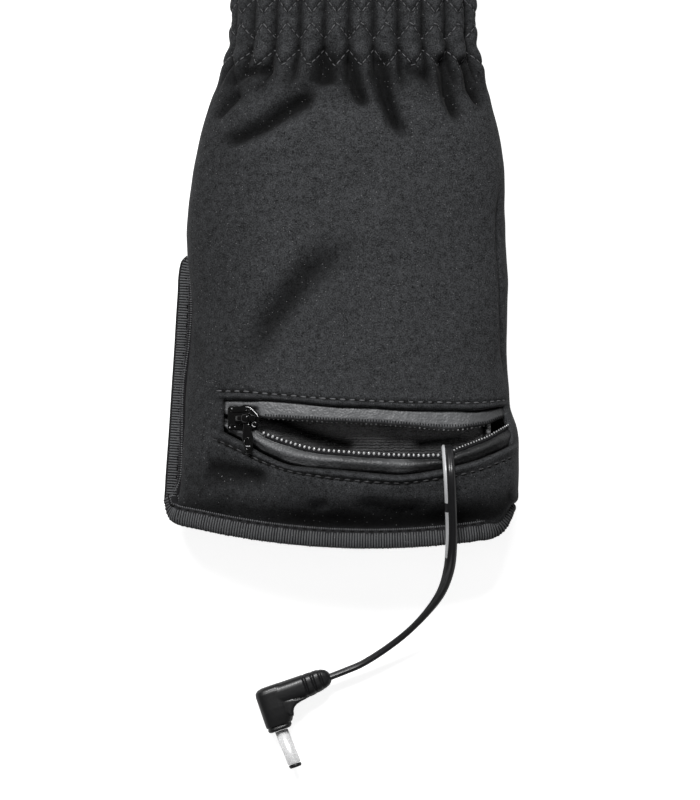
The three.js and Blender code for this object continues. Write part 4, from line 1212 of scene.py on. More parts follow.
def makeCuffFront():
    # the rows below and above the window follow its welts, the rows between cross it
    seam = cloth["seamAngle"]
    leftAngle, rightAngle = float(angleFor(windowLeft, 34)), float(angleFor(windowRight, 30))
    leftColumn, rightColumn = 30, 220
    angles = np.concatenate([
        np.linspace(math.pi - seam, leftAngle, leftColumn, endpoint=False),
        np.linspace(leftAngle, rightAngle, rightColumn - leftColumn, endpoint=False),
        np.linspace(rightAngle, seam, 18),
    ])
    low = graded([(0, 0.9, 0.03), (0.9, 1, 0.016)])
    between = np.linspace(0, 1, 9)[1:-1]
    high = graded([(0, 5, 0.45), (5, 80, 1.2), (80, 128, 0.55)])
    xs = clothBase(angles, np.full(len(angles), 30.0))[:, 0]
    lines = zipLines(np.clip(xs, -33.5, 46))
    weltUp, weltLow = lines[1], lines[4]
    rows = [cloth["hemRow"] + (weltLow - cloth["hemRow"]) * t for t in low]
    firstInside = len(rows) - 1
    rows += [weltLow + (weltUp - weltLow) * t for t in between]
    lastInside = len(rows)
    rows += [weltUp + (cloth["top"] - weltUp) * t / 128 for t in high]
    y = np.array(rows)
    points, _ = clothAt(angles, y)

    def keep(r, c):
        return not (firstInside <= r < lastInside and leftColumn <= c < rightColumn)

    faces = gridFaces(len(rows), len(angles), keep=keep)
    front = newObject("cuffFront", points.reshape(-1, 3), faces, [softshell, fleece])
    # painted shade for the colour, from the folds, ribs, welts and hem
    paintShade(front, paintedShadeAt(angles, y))
    return thicken(front, cloth["wall"], inner=1)


def makeCuffBack():
    angles = np.linspace(-cloth["seamAngle"], -math.pi + cloth["seamAngle"], 110)
    y = graded([(cloth["hemRow"], 100, 1.6), (100, cloth["top"], 0.8)])[:, None]
    points, _ = clothAt(angles, y)
    back = newObject("cuffBack", points.reshape(-1, 3), gridFaces(len(y), len(angles)), [softshell, fleece])
    # painted shade for the colour
    paintShade(back, paintedShadeAt(angles, y))
    return thicken(back, cloth["wall"], inner=1)


cuffFront = makeCuffFront()
cuffBack = makeCuffBack()
print("cuff and wrist made:", len(cuffFront.data.polygons), len(cuffBack.data.polygons))


def frontHeight(x, y):
    left, right, low, high, mid = sections(y)
    share = np.clip(np.abs(x - (left + right) / 2) / ((right - left) / 2), 0, 0.9995)
    dome = (1 - share**palmPower) ** (1 / palmPower)
    return mid + (high - mid) * dome + lipRelief(x, y) + foldRelief(x, y, folds) + unevenness(x, y)


def surfaceAt(x, y, lift=0.0):
    # a point over a place at the front of the cuff, and the way out of the cloth there
    x, y = np.broadcast_arrays(np.asarray(x, float), np.asarray(y, float))
    z = frontHeight(x, y)
    slopeX = (frontHeight(x + 0.15, y) - frontHeight(x - 0.15, y)) / 0.3
    slopeY = (frontHeight(x, y + 0.15) - frontHeight(x, y - 0.15)) / 0.3
    normal = unit(np.stack([-slopeX, -slopeY, np.ones_like(z)], axis=-1))
    return np.stack([x, y, z], axis=-1) + normal * np.asarray(lift)[..., None], normal


# Zip: coated tapes behind the welts, each with a row of teeth under its edge
tape = {
    "from": -31.6, "upperTo": 43.1, "lowerTo": 44.4, "columns": 260, "hidden": 3.0, "thickness": 0.7,
    "markAt": 0.2, "markPitch": 0.72, "toothPitch": 1.27, "smallPitch": 0.85,
}


def tapeSurface(x, y, lift):
    # near its right end the cloth stands steep, and the tapes lie straight below it
    point, normal = surfaceAt(x, y)
    upright = ramp(34, 42, x)[..., None]
    way = unit(normal * (1 - upright) + upward * upright)
    return point + way * np.asarray(lift)[..., None], way


def pressed(x):
    # how far the lead pushes the lower tape's edge back
    return 1.1 * bump(x - 27.3, 1.7)


def underSlider(x, y):
    # the tapes run down into the slider, between its two plates
    return 1.5 * (1 - ramp(-23, -21.2, x)) * (1 - ramp(2.0, 3.6, np.abs(y - 33.75))) * ramp(-30.4, -29.6, x)


def makeTape(name, edgeColumn, weltColumn, outwards, profile, rows=20):
    x = np.linspace(tape["from"], tape["upperTo" if outwards > 0 else "lowerTo"], tape["columns"])
    lines = zipLines(x)
    edge, welt = lines[edgeColumn], lines[weltColumn]
    if outwards < 0:
        edge = edge - pressed(x)
    share = np.linspace(0, 1, rows)
    share = share * (0.4 + 0.6 * share)  # closer together near the edge
    hidden = welt + outwards * tape["hidden"]
    y = edge + (hidden - edge) * share[:, None]
    visible = np.clip((y - edge) / (welt - edge), 0, 1.4)
    away = np.abs(y - edge)
    wrinkle = 0.07 * fieldOf(x * 0.6, y, 31, 2.6) + 0.05 * fieldOf(x, y * 1.5, 37, 1.3)
    wide = np.broadcast_to(x, y.shape)
    points, _ = tapeSurface(wide, y, -profile(visible, away) + wrinkle - underSlider(wide, y))
    piece = newObject(name, points.reshape(-1, 3), gridFaces(rows, len(x)), tapeCoat)
    # painted shade: dark where the tape goes under its welt, along its rolled edge and at the window's left
    # end; the lower tape is darker overall and near its edge, with lighter painted patches, and the upper
    # tape darker towards its right end
    shade = 0.95 * ramp(0.88, 0.98, visible) + 0.55 * bump(away, 0.35)
    shade += 0.9 * (1 - ramp(-30.9, -30.3, wide))
    if outwards < 0:
        shade += 0.25 + 0.3 * ramp(-6, 2, wide) - 0.35 * bump(wide - 14, 4) + 0.25 * ramp(16, 22, wide)
        shade += 0.4 * bump(visible - 0.12, 0.2) - 0.2 * bump(visible - 0.55, 0.16) * (1 - ramp(-3, -1, wide))
    else:
        shade += 0.3 * ramp(28, 34, wide) + 0.35 * ramp(34, 42, wide)
    paintShade(piece, np.clip(shade, 0, 0.95))
    if outwards < 0:
        piece.data.flip_normals()
    return thicken(piece, tape["thickness"])


def upperTapeDepth(visible, away):
    rolled = 1.1 * bump(away, 0.45)  # its edge is folded under
    mark = 0.14 * bump(visible - tape["markAt"], 0.045)
    return 1.15 + rolled + mark + 1.6 * ramp(0.92, 1.12, visible)


def lowerTapeDepth(visible, away):
    rolled = 0.7 * bump(away, 0.35)
    fold = 0.45 * bump(away - 0.95, 0.3)
    swell = 0.9 * bump(visible - 0.52, 0.2)
    return 1.5 + rolled + fold - swell + 1.3 * visible**1.6 + 1.3 * ramp(0.9, 1.12, visible)


def besideTape(column, outwards, lift, fromX, toX, count):
    # a line beside a tape's edge, which is column 2 or 3 of the zip's lines
    x = np.linspace(fromX, toX, count)
    y = zipLines(x)[column] + outwards - (pressed(x) if column == 3 else 0)
    return tapeSurface(x, y, lift)


def makeTeeth(name, place, seed, small=False):
    kind, pitch = (smallTooth, tape["smallPitch"]) if small else (toothBead, tape["toothPitch"])
    return rowOf(name, kind, [besideTape(*place, 160)], pitch, glintingToothNylon, 0.05, seed)


def makeCoilCore(name, place):
    points, normals = besideTape(*place, 120)
    _, side, up = pathFrames(points, normals)
    profile = [(0.62 * math.cos(t), 0.4 * math.sin(t)) for t in circle(8)]
    return sweep(points, side, up, profile, name, grooveCloth)


toothBead = bead("tooth", 0.66, 0.92, 0.7, turns=10, rings=8)
smallTooth = bead("smallTooth", 0.4, 0.55, 0.45, turns=8, rings=6)
tickBead = bead("tapeTick", 0.3, 0.8, 0.16, turns=6, rings=3)
upperTape = makeTape("zipTapeUpper", 2, 1, 1, upperTapeDepth)
lowerTape = makeTape("zipTapeLower", 3, 4, -1, lowerTapeDepth)
markX = np.linspace(-20, tape["upperTo"], 200)
markLines = zipLines(markX)
markY = markLines[2] + (markLines[1] - markLines[2]) * tape["markAt"]
upperTape = joinAs("zipTapeUpper", [
    upperTape,
    rowOf("tapeMarks", tickBead, [tapeSurface(markX, markY, -1.2)], tape["markPitch"], grooveCloth, 0.1, 5),
])
# each row of teeth: its tape's column, how far past the edge, its height, and from where to where
upperTeeth = joinAs("zipTeethUpper", [
    makeTeeth("teethUpper", (2, 0.25, -2.5, -19.5, 38.4), 11),
    makeCoilCore("coreUpper", (2, 0.8, -2.6, -19.5, 38.4)),
])
lowerTeeth = joinAs("zipTeethLower", [
    makeTeeth("teethLower", (3, 0.1, -1.45, -20.6, 28.6), 12),
    makeTeeth("teethLowerEnd", (3, 0.1, -1.5, 29.4, 43.2), 13, small=True),
    makeCoilCore("coreLower", (3, -0.3, -1.9, -20.2, 42.6)),
])
print("zip tapes and teeth made")


# Pocket: a knitted bag under the front of the cuff, open between the tapes
pocket = {
    "from": -35.0, "to": 38.6, "bottom": 11.0, "top": 64.0, "inset": 3.4, "rim": 3.0, "deepest": 10.4,
    "mouthX": 4.0, "mouthY": 22.0, "reachX": 44.0, "reachY": 26.0, "mouthFrom": -31.5, "mouthTo": 39.0,
    "wall": 0.9, "raised": 4.4,
    "creases": [
        {"path": [(-19, 34), (-10, 30.4), (-1.6, 27.4), (4, 26.5)],
         "half": 2.2, "depth": 3.2, "ends": (0, 0.15)},
        {"path": [(-24, 31), (-15, 28.4)], "half": 1.6, "depth": -1.0},
        {"path": [(2, 31), (16, 30)], "half": 2.6, "depth": -0.9},
        {"path": [(20, 27.5), (34, 29.5)], "half": 1.3, "depth": 1.2},
    ],
}


def makePocketBag(size):
    columns, rows = 110, 78
    x = np.linspace(size["from"], size["to"], columns)[None, :].repeat(rows, 0)
    y = np.linspace(size["bottom"], size["top"], rows)[:, None].repeat(columns, 1)
    away = ((x - size["mouthX"]) / size["reachX"]) ** 2 + ((y - size["mouthY"]) / size["reachY"]) ** 2
    deep = size["rim"] + (size["deepest"] - size["rim"]) * np.exp(-away * away)
    edge = np.minimum.reduce([x - size["from"], size["to"] - x, y - size["bottom"], size["top"] - y])
    closing = np.sqrt(np.clip(edge / 3, 0, 1))
    top = frontHeight(x, y) - size["inset"]
    rise = size["raised"] * bump(y - 31.5, 7) * closing
    under = top - (deep - rise) * closing + foldRelief(x, y, size["creases"]) * closing
    under += 0.25 * fieldOf(x, y, 51, 8) * closing
    lines = zipLines(x)

    def isMouth(r, c):
        place = x[r, c] + 0.3
        across = lines[4][r, c] - 2.5 < y[r, c] < lines[1][r, c] + 2.5
        return across and size["mouthFrom"] < place < size["mouthTo"]

    upper = gridFaces(rows, columns, keep=lambda r, c: not isMouth(r, c))
    lower = [tuple(i + rows * columns for i in reversed(f)) for f in gridFaces(rows, columns)]
    points = np.concatenate([
        np.stack([x, y, top], axis=-1).reshape(-1, 3), np.stack([x, y, under], axis=-1).reshape(-1, 3),
    ])
    bag = newObject("pocketLining", points, upper + lower, liningKnit)
    # painted shade inside the bag: in its creases, at its right end, a little all over and most low down by
    # the lower tape
    shade = np.maximum(foldShade(x, y, size["creases"]), ramp(35.5, 37, x + 0.4 * (y - 30)))
    shade = np.clip(shade + 0.15 + 0.5 * (1 - ramp(26.5, 31, y)), 0, 1).ravel()
    paintShade(bag, np.concatenate([np.zeros(len(shade)), shade]))
    tidyNormals(bag, 1e-6)
    return thicken(bag, size["wall"])


pocketLining = makePocketBag(pocket)
print("pocket made")


# Slider: two plates and a post round the coils, with a crown that holds the puller
slider = {
    "place": (-25.4, 33.75, 29.98), "slope": 0.344, "sunk": -1.8,
    "outline": [
        (-4.8, 2.3), (-4.65, 2.95), (-4.0, 3.15), (-2.9, 3.0), (-1.4, 3.05), (-0.4, 3.45), (0.5, 3.5),
        (1.3, 3.25), (2.2, 2.65), (3.05, 1.85), (3.8, 0.95), (4.3, 0.0),
    ],
    # bright lines and bumps, painted glints: one line along the edge of the nose, and bumps on the plate with
    # their radius
    "wornEdge": [(0.2, 2.95), (1.1, 2.85), (1.95, 2.35), (2.7, 1.65), (3.35, 0.95), (3.75, 0.25)],
    "glintBumps": [
        (-3.6, 2.5, 0.22), (-2.2, 0.05, 0.22), (0.25, -0.9, 0.24), (-4.15, -2.4, 0.22), (-2.7, -2.2, 0.19),
        (-0.2, -2.95, 0.17),
    ],
    "curl": {"place": (2.7, -1.6), "radius": 0.6},
    "plate": 0.95, "foot": -4.75, "footTo": 1.6,
    "crownFrom": -2.4, "crownTo": 2.9, "crownRise": 2.7, "crownWidth": 1.6, "crownHalf": 0.36,
}


def onSlider(points):
    # from the slider's own frame, with its zip along x, to the pattern
    points = np.asarray(points, float) + np.array([0, 0, slider["sunk"]])
    angle = math.atan(slider["slope"])
    c, s = math.cos(angle), math.sin(angle)
    turned = np.stack([
        points[..., 0] * c - points[..., 2] * s, points[..., 1], points[..., 0] * s + points[..., 2] * c,
    ], axis=-1)
    return turned + np.array(slider["place"])


def plateRings(outline, low, high, soft):
    # an outline drawn in, out and in again makes a plate with rounded edges
    outline = np.array(outline)
    centre = outline.mean(axis=0)
    rings = []
    for z, inset in ((low, soft), (low + soft * 0.35, soft * 0.3), (low + soft, 0), (high - soft, 0),
                     (high - soft * 0.35, soft * 0.3), (high, soft)):
        away = outline - centre
        reach = np.linalg.norm(away, axis=1, keepdims=True)
        ring = centre + away * (1 - inset / np.maximum(reach, 0.5))
        rings.append(onSlider(np.column_stack([ring, np.full(len(ring), z)])))
    return rings


def wireRings(path, radii, place):
    # rings round a line on a flat face; place gives a point of the slider's frame
    ahead = unit(np.gradient(path, axis=0))
    return [
        onSlider([
            place(x - dy * r * math.cos(t), y + dx * r * math.cos(t), r * math.sin(t)) for t in circle(8)
        ])
        for (x, y), (dx, dy), r in zip(path, ahead, radii)
    ]


def wireOnSlider(name, path, z, radius, material):
    # a fine wire laid flat on the slider
    radii = [radius * (0.3 if i in (0, len(path) - 1) else 1) for i in range(len(path))]
    return loftRings(name, wireRings(path, radii, lambda x, y, lift: (x, y, z + lift)), material)


def domeOnSlider(name, x, y, z, radius):
    rings = []
    for lift in np.radians([-20, 5, 30, 55, 75]):
        reach, rise = radius * math.cos(lift), radius * math.sin(lift)
        rings.append(onSlider([
            (x + reach * math.cos(t), y + reach * math.sin(t), z + rise) for t in circle(12)
        ]))
    return loftRings(name, rings, glintMetal)


def makeSlider(size):
    half = size["outline"]
    outline = half + [(x, -y) for x, y in reversed(half[:-1])]
    foot = [(min(x, size["footTo"]), y * 0.85) for x, y in outline]
    parts = [
        loftRings("topPlate", plateRings(outline, 0, size["plate"], 0.3), blackEnamel),
        loftRings("footPlate", plateRings(foot, size["foot"], size["foot"] + 0.9, 0.3), blackEnamel),
    ]
    # a raised rim along the nose of the plate, with a bright wire on its upper side, a painted glint
    nose = smoothPath([*size["wornEdge"], *[(x, -y) for x, y in reversed(size["wornEdge"])]], 0.25)
    parts.append(wireOnSlider("plateRim", nose, size["plate"] + 0.02, 0.27, blackEnamel))
    glintPath = smoothPath(size["wornEdge"], 0.2)
    parts.append(wireOnSlider("wornEdge", glintPath, size["plate"] + 0.2, 0.13, glintMetal))
    for x, y, radius in size["glintBumps"]:
        parts.append(domeOnSlider("wornBump", x, y, size["plate"], radius))
    # a bright curl on the plate, a painted glint
    turn, curl = np.radians(np.linspace(35, 300, 16)), size["curl"]
    bend = np.array(curl["place"]) + curl["radius"] * np.column_stack([np.cos(turn), np.sin(turn)])
    parts.append(wireOnSlider("curl", bend, size["plate"] + 0.3, 0.13, glintMetal))
    post = [(1.7 + 1.4 * math.cos(t), 0.75 * math.sin(t)) for t in circle(16)]
    parts.append(loftRings("post", [
        onSlider([(x, y, z) for x, y in post]) for z in (size["foot"] + 0.5, -2, 0.4)
    ], blackEnamel))
    # the crown is a strap that arches from one end of the plate to the other
    rings = []
    for t in np.linspace(0, 1, 22):
        x = size["crownFrom"] + (size["crownTo"] - size["crownFrom"]) * (1 - math.cos(math.pi * t)) / 2
        rise = size["plate"] - 0.25 + size["crownRise"] * math.sin(math.pi * t) ** 0.7
        lean = math.cos(math.pi * t)
        out = np.array([-lean, 0, math.sin(math.pi * t)])
        width = size["crownWidth"] / 2 * (0.82 + 0.18 * abs(lean))
        strap = [squared(turn, 0.6) for turn in circle(12)]
        rings.append(onSlider([
            np.array([x, width * across, rise - size["crownHalf"]]) + out * size["crownHalf"] * over
            for across, over in strap
        ]))
    parts.append(loftRings("crown", rings, blackEnamel))
    # turned-down flanges hold the coils on both sides, and low ridges lie on the plate
    for side in (1, -1):
        for y, z, width, height in ((2.3, -0.55, 0.6, 1.0), (1.75, size["plate"] + 0.08, 0.5, 0.35)):
            rings = []
            for x in np.linspace(-4.1, 0.9, 9):
                shrink = 0.6 if min(x + 4.1, 0.9 - x) < 0.1 else 1
                across = side * (y + 0.28 * ramp(-1.5, 1.5, x))
                wide, high = shrink * width / 2, shrink * height / 2
                rings.append(onSlider([
                    (x, across + wide * math.cos(t), z + high * math.sin(t)) for t in circle(10)
                ]))
            parts.append(loftRings("flange", rings, blackEnamel))
    return joinAs("zipSlider", parts)


# Puller: an eye round the crown and a tab with a raised rim and a slot near its end
puller = {
    "eyeZ": 2.65, "bore": 0.85, "eye": 1.35, "eyeLength": 1.9, "along": 0.95, "lean": 0.09, "thickness": 0.95,
    # down from the bar, half width, and half thickness as a share
    "tab": [
        (1.0, 0.7, 0.5), (1.7, 0.85, 1), (2.8, 1.05, 1), (4.3, 1.45, 1), (5.6, 1.5, 1), (7.0, 1.25, 1),
        (8.2, 0.95, 1), (8.9, 0.75, 0.9), (9.2, 0.4, 0.5),
    ],
    # a bright line beside the slot, a painted glint: across and down, and how wide it is
    "glintPath": [(-0.85, 5.7), (-0.85, 6.6), (-0.6, 7.2), (0.0, 7.25), (0.65, 7.2)],
    "glintRadius": 0.12, "glintHeight": 0.42,
    "loop": {"half": 0.78, "halfLong": 1.55, "down": 6.6, "height": 0.38, "radius": 0.18, "rise": 0.22},
}


def onTab(across, down, height):
    # a place on the puller's tab, which leans to the thumb side on its way down
    return (puller["along"] + across + puller["lean"] * down, -down, puller["eyeZ"] + height)


def makePuller(size):
    # the eye, a short tube round the crown's bar
    rings = []
    middle = (size["bore"] + size["eye"]) / 2
    thick = (size["eye"] - size["bore"]) / 2
    for t in circle(24):
        way = np.array([0, math.cos(t), math.sin(t)])
        centre = np.array([size["along"], 0, size["eyeZ"]]) + way * middle
        rings.append(onSlider([
            centre + way * thick * out + np.array([size["eyeLength"] / 2 * across, 0, 0])
            for across, out in (squared(a, 0.6) for a in circle(12))
        ]))
    parts = [loftRings("eye", rings, blackEnamel, closed=True)]
    # the tab, a waisted strip with rounded edges
    rings = []
    for down, half, thick in size["tab"]:
        rings.append(onSlider([
            onTab(half * across, down, thick * size["thickness"] * 0.4 * out)
            for across, out in (squared(a, 0.5) for a in circle(16))
        ]))
    parts.append(loftRings("tab", rings, blackEnamel))
    # a raised loop round the slot at the tab's end
    loop, rings = size["loop"], []
    for t in circle(30):
        rings.append(onSlider([
            onTab(
                math.cos(t) * (loop["half"] + loop["radius"] * math.cos(a)),
                loop["down"] - math.sin(t) * (loop["halfLong"] + loop["radius"] * math.cos(a)),
                loop["height"] + loop["rise"] * math.sin(a),
            )
            for a in circle(8)
        ]))
    parts.append(loftRings("tabLoop", rings, blackEnamel, closed=True))
    # a bright wire beside the slot, a painted glint
    glintPath = smoothPath(size["glintPath"], 0.2)
    radii = [size["glintRadius"] * (0.4 + 1.1 * i / len(glintPath)) for i in range(len(glintPath))]
    rings = wireRings(glintPath, radii, lambda across, down, lift: onTab(across, down, size["glintHeight"] + lift))
    parts.append(loftRings("wornLine", rings, glintMetal))
    return joinAs("zipPuller", parts)


zipSlider = makeSlider(slider)
zipPuller = makePuller(puller)
print("slider and puller made")


# Bindings: ribbed tape folded over the hem and over both edges of the vent
binding = {
    "ribPitch": 0.69, "beadPitch": 0.58, "stitchPitch": 2.45, "rowY": 2.45,
    # one side of its outline, from the fold to the picot
    "half": [
        (-2.45, 0), (-2.4, 0.55), (-2.1, 1.05), (-1.5, 1.35), (-0.6, 1.47), (0.8, 1.42), (1.9, 1.3),
        (2.35, 1.05),
    ],
    # at the vent it turns up and down to the side: x, y, how far from the middle height, and its tilt
    "ends": [
        (-41.4, 8.3, 5.4, 0.55), (-43.0, 9.0, 3.8, 0.8), (-44.1, 10.4, 2.7, 1.1), (-44.6, 12.8, 2.2, 1.2),
    ],
}
ventBinding = {
    # y, outer edge, inner edge, and how far its middle is above or below the seam
    "edges": smoothTable([
        (12.9, -46.4, -44.6, 1.1), (15.5, -46.2, -42.9, 1.3), (19, -46.0, -41.8, 1.5),
        (30, -45.2, -41.45, 1.5), (42.4, -44.4, -41.1, 1.5), (53, -43.7, -39.7, 1.5),
        (60, -43.3, -39.1, 1.5), (66, -42.9, -39.1, 1.5), (71, -42.65, -39.4, 1.4),
        (74.4, -42.0, -39.5, 1.2), (75.7, -41.0, -39.6, 1.0), (76.1, -40.2, -39.7, 0.9),
    ]),
    "thickness": 2.1,
}


def hemPath(size):
    # the middle of the hem binding from one end to the other, and the way out of the cloth
    angle = np.linspace(math.pi - 0.62, -math.pi + 0.62, 150)
    y = np.full(len(angle), size["rowY"])
    base, inner = clothBase(angle, y), clothBase(angle, y, cloth["wall"])
    points = (base + inner) / 2
    points[:, 1] = base[:, 1]
    mid = float(sections(size["rowY"])[4])

    def endRows(level):
        return np.array([
            (x, y, mid + level * away, -math.sin(tilt), 0, level * math.cos(tilt))
            for x, y, away, tilt in size["ends"]
        ])

    rows = np.vstack([endRows(1)[::-1], np.hstack([points, unit(base - inner)]), endRows(-1)])
    rows = smoothPath(rows, 0.7)
    return rows[:, :3], unit(rows[:, 3:])


def makeHemBinding(size):
    points, ups = hemPath(size)
    _, side, up = pathFrames(points, ups)
    half = size["half"]
    outline = half + [(a, -b) for a, b in reversed(half[1:])]
    # the base is near-black cloth, painted shade between the ribs
    base = sweep(points, side, up, outline, "hemBase", grooveCloth)
    tidyNormals(base)
    # one rib: a rounded cord laid round the fold, as far as the dark line under the picot
    ribOutline = [(a, b) for a, b in half[1:-2]] + [(1.5, 1.34)]
    ribOutline = [(a, -b) for a, b in reversed(ribOutline)] + [half[0]] + ribOutline
    rib = ribTemplate("hemRib", ribOutline, 0.24, 0.2)
    ribs = rowOf("hemRibs", rib, [(points, up)], size["ribPitch"], bindingCloth, 0.03, 21)
    beads, threads = [], []
    for level in (1, -1):
        beads.append((points + side * 2.42 + up * 1.14 * level, up * level))
        threads.append((points + side * 1.95 + up * 1.34 * level, up * level))
    parts = [
        base, ribs,
        rowOf("hemPicot", picotBead, beads, size["beadPitch"], threadCloth, 0.12, 22),
        rowOf("hemStitches", shortStitch, threads, size["stitchPitch"], holeCloth, 0.08, 23),
    ]
    whole = joinAs("hemBinding", parts)
    # painted shade, darker where it turns the corner on the thumb side
    paintShade(whole, 0.5 * ramp(33, 44, pointsOf(whole.data)[0][:, 0]))
    return whole


def ribTemplate(name, outline, halfWidth, height):
    # a rounded cord that lies across the path, along an outline
    outline = np.array(outline, float)
    ahead = np.gradient(outline, axis=0)
    out = unit(np.column_stack([-ahead[:, 1], ahead[:, 0]]))
    points, n = [], len(outline)
    for i in range(n):
        crest = 0.8 * (height if 0 < i < n - 1 else 0.02)
        for x, lift in ((-1, -0.03), (-0.45, crest), (0.45, crest), (1, -0.03)):
            points.append((x * halfWidth, *(outline[i] + out[i] * lift)))
    return template(name, points, gridFaces(n, 4))


def makeVentBinding(name, level, seed):
    y = np.concatenate([np.linspace(11.6, 74, 72), np.linspace(74.3, 76.1, 14)])
    outer, inner, offset = ventBinding["edges"](y)
    mid = sections(y)[4]
    # its inner part goes under the edge of the front, and reaches further at the hem's corner
    tucked = inner + 0.9 * (1 - ramp(70, 76, y)) + 1.2 * (1 - ramp(13, 18, y))
    centreX = (outer + tucked) / 2
    z = mid + level * offset
    points = np.stack([centreX, y, z], axis=-1)
    halfWide = (tucked - outer) / 2
    halfThick = ventBinding["thickness"] / 2
    rings = []
    for i in range(len(y)):
        ring = []
        for t in circle(24):
            across, over = squared(t, 0.6)
            thin = (1 - 0.3 * ramp(0.2, 1, math.cos(t))) * min(1, halfWide[i])
            ring.append(points[i] + [halfWide[i] * across, 0, thin * halfThick * over])
        rings.append(ring)
    # the base is near-black cloth, painted shade between the ribs
    base = loftRings(name + "Base", rings, grooveCloth)
    # ribs lie across the part outside the picot, from one side round the fold to the other
    half = [(1.15, 1.04), (0, 1.1), (-1.0, 1.04), (-1.55, 0.75), (-1.74, 0.0)]
    rib = ribTemplate(name + "Rib", half + [(a, -b) for a, b in reversed(half[:-1])], 0.2, -0.24)
    ribX = outer + 1.72
    keep = y < 75.2
    line = np.stack([ribX, y, z], axis=-1)[keep]
    up = np.tile([0, 0, 1.0], (keep.sum(), 1))
    ribs = rowOf(name + "Ribs", rib, [(line, up)], binding["ribPitch"], bindingCloth, 0.03, seed)
    facing = np.tile([0, 0, float(level)], (keep.sum(), 1))

    def rowBeside(ending, piece, inwards, height, pitch, finish, rowSeed):
        path = np.stack([inner - inwards, y, z + height * level], axis=-1)[keep]
        return rowOf(name + ending, piece, [(path, facing)], pitch, finish, 0.12, rowSeed)

    return joinAs(name, [
        base, ribs,
        rowBeside("Picot", picotBead, 0.25, 0.98, binding["beadPitch"], threadCloth, seed + 1),
        rowBeside("Edge", picotBead, 0.8, 1.04, binding["beadPitch"], dullThread, seed + 2),
        rowBeside("Stitches", shortStitch, 1.25, 1.1, binding["stitchPitch"], holeCloth, seed + 3),
    ])


picotBead = bead("picot", 0.42, 0.58, 0.44, turns=6, rings=4)
shortStitch = bead("shortStitch", 1.3, 0.42, 0.3, turns=6, rings=5)
longStitch = bead("longStitch", 1.55, 0.46, 0.42, turns=6, rings=5)
elasticStitch = bead("elasticStitch", 1.45, 0.34, 0.34, turns=6, rings=5)
pinHole = bead("pinHole", 1.15, 0.85, 0.34, turns=6, rings=4)
hemBinding = makeHemBinding(binding)
ventFront = makeVentBinding("ventBindingFront", 1, 41)
ventBack = makeVentBinding("ventBindingBack", -1, 45)
print("bindings made")


# Stitches on the cuff: along the window's welts, with holes between the threads, and zigzags
# over the elastic of the wrist
stitching = {"pitch": 2.47, "elasticPitch": 1.85, "perLeg": 8}


def makeCuffStitches():
    rows = []
    # the lower row has the darker thread, painted shade
    for column, fromX, finish in ((0, -31.9, threadCloth), (5, -33.2, dullThread)):
        x = np.linspace(fromX, 43.6, 180)
        y = zipLines(x)[column]
        points, normals = surfaceAt(x, y, -0.2)
        threads = [(points, normals)]
        rows.append(rowOf("weltThreads", longStitch, threads, stitching["pitch"], finish, 0.08, 61))
        along = np.concatenate([[0], np.cumsum(np.linalg.norm(np.diff(points, axis=0), axis=1))])
        later = along > stitching["pitch"] / 2
        # the holes are near-black beads, painted shade between the threads
        holes = surfaceAt(x[later], y[later] - 0.12, -0.2)
        rows.append(rowOf("weltHoles", pinHole, [holes], stitching["pitch"], holeCloth, 0.1, 62))
    legs = []
    for row in range(elastic["rows"]):
        count = elastic["ribs"] * 2 * stitching["perLeg"]
        angle = np.interp(np.linspace(0, 1, count + 1), wristShares, wristAngles)
        points, normals = clothAt(angle, zigzag(angle, row), -0.02)
        legs.append((points, normals))
    pitch = stitching["elasticPitch"]
    rows.append(rowOf("elasticThreads", elasticStitch, legs, pitch, threadCloth, 0.12, 63))
    return joinAs("cuffStitches", rows)


cuffStitches = makeCuffStitches()
print("stitches made")


# Hand: palm, fingers and thumb in one form, with side seams and gathers at the wrist
fingers = [
    {"name": "thumb", "root": (31, 186), "tip": (80.5, 250), "rootWidth": 31, "tipWidth": 22},
    {"name": "index", "root": (33, 230), "tip": (43, 321), "rootWidth": 23, "tipWidth": 20.4},
    {"name": "middle", "root": (12, 232), "tip": (15.2, 333), "rootWidth": 23.4, "tipWidth": 20.8},
    {"name": "ring", "root": (-10.6, 231), "tip": (-13.8, 325), "rootWidth": 24, "tipWidth": 20},
    {"name": "little", "root": (-32.2, 226), "tip": (-42, 303), "rootWidth": 22.8, "tipWidth": 18.4},
]
hand = {"voxel": 1.15, "depth": 0.93, "end": 257, "bottom": 159.6, "tuck": 0.9}


def palmRings():
    rings = []
    for y in [*np.arange(154, 252, 3.0), 252.5, 255, hand["end"]]:
        x, z = sectionPoint(circle(96), np.full(96, float(y)))
        rings.append(np.stack([x, np.full(len(x), float(y)), np.maximum(z, 0.05)], axis=-1))
    return rings


def fingerLine(finger):
    # where a finger begins, its length, and the ways along and across it
    root, tip = np.array(finger["root"], float), np.array(finger["tip"], float)
    length = np.linalg.norm(tip - root)
    along = (tip - root) / length
    return root, length, along, np.array([along[1], -along[0]])


def fingerRings(finger):
    root, length, along, side = fingerLine(finger)
    tipRadius = finger["tipWidth"] / 2
    straight = length - tipRadius
    stations = [(at, 1.0) for at in np.linspace(0, straight, 30)]
    stations += [(straight + tipRadius * math.sin(t), math.cos(t)) for t in np.linspace(0.12, 1.5, 12)]
    rings = []
    for at, girth in stations:
        share = min(at / straight, 1)
        width = finger["rootWidth"] + (finger["tipWidth"] - finger["rootWidth"]) * share
        radius = width * (1 + 0.02 * math.cos(share * 4 * math.pi)) / 2 * girth
        centre = root + along * at
        middle = float(sections(centre[1])[4])
        rings.append([
            (*(centre + side * radius * math.cos(a)), middle + radius * hand["depth"] * math.sin(a))
            for a in circle(40)
        ])
    return rings


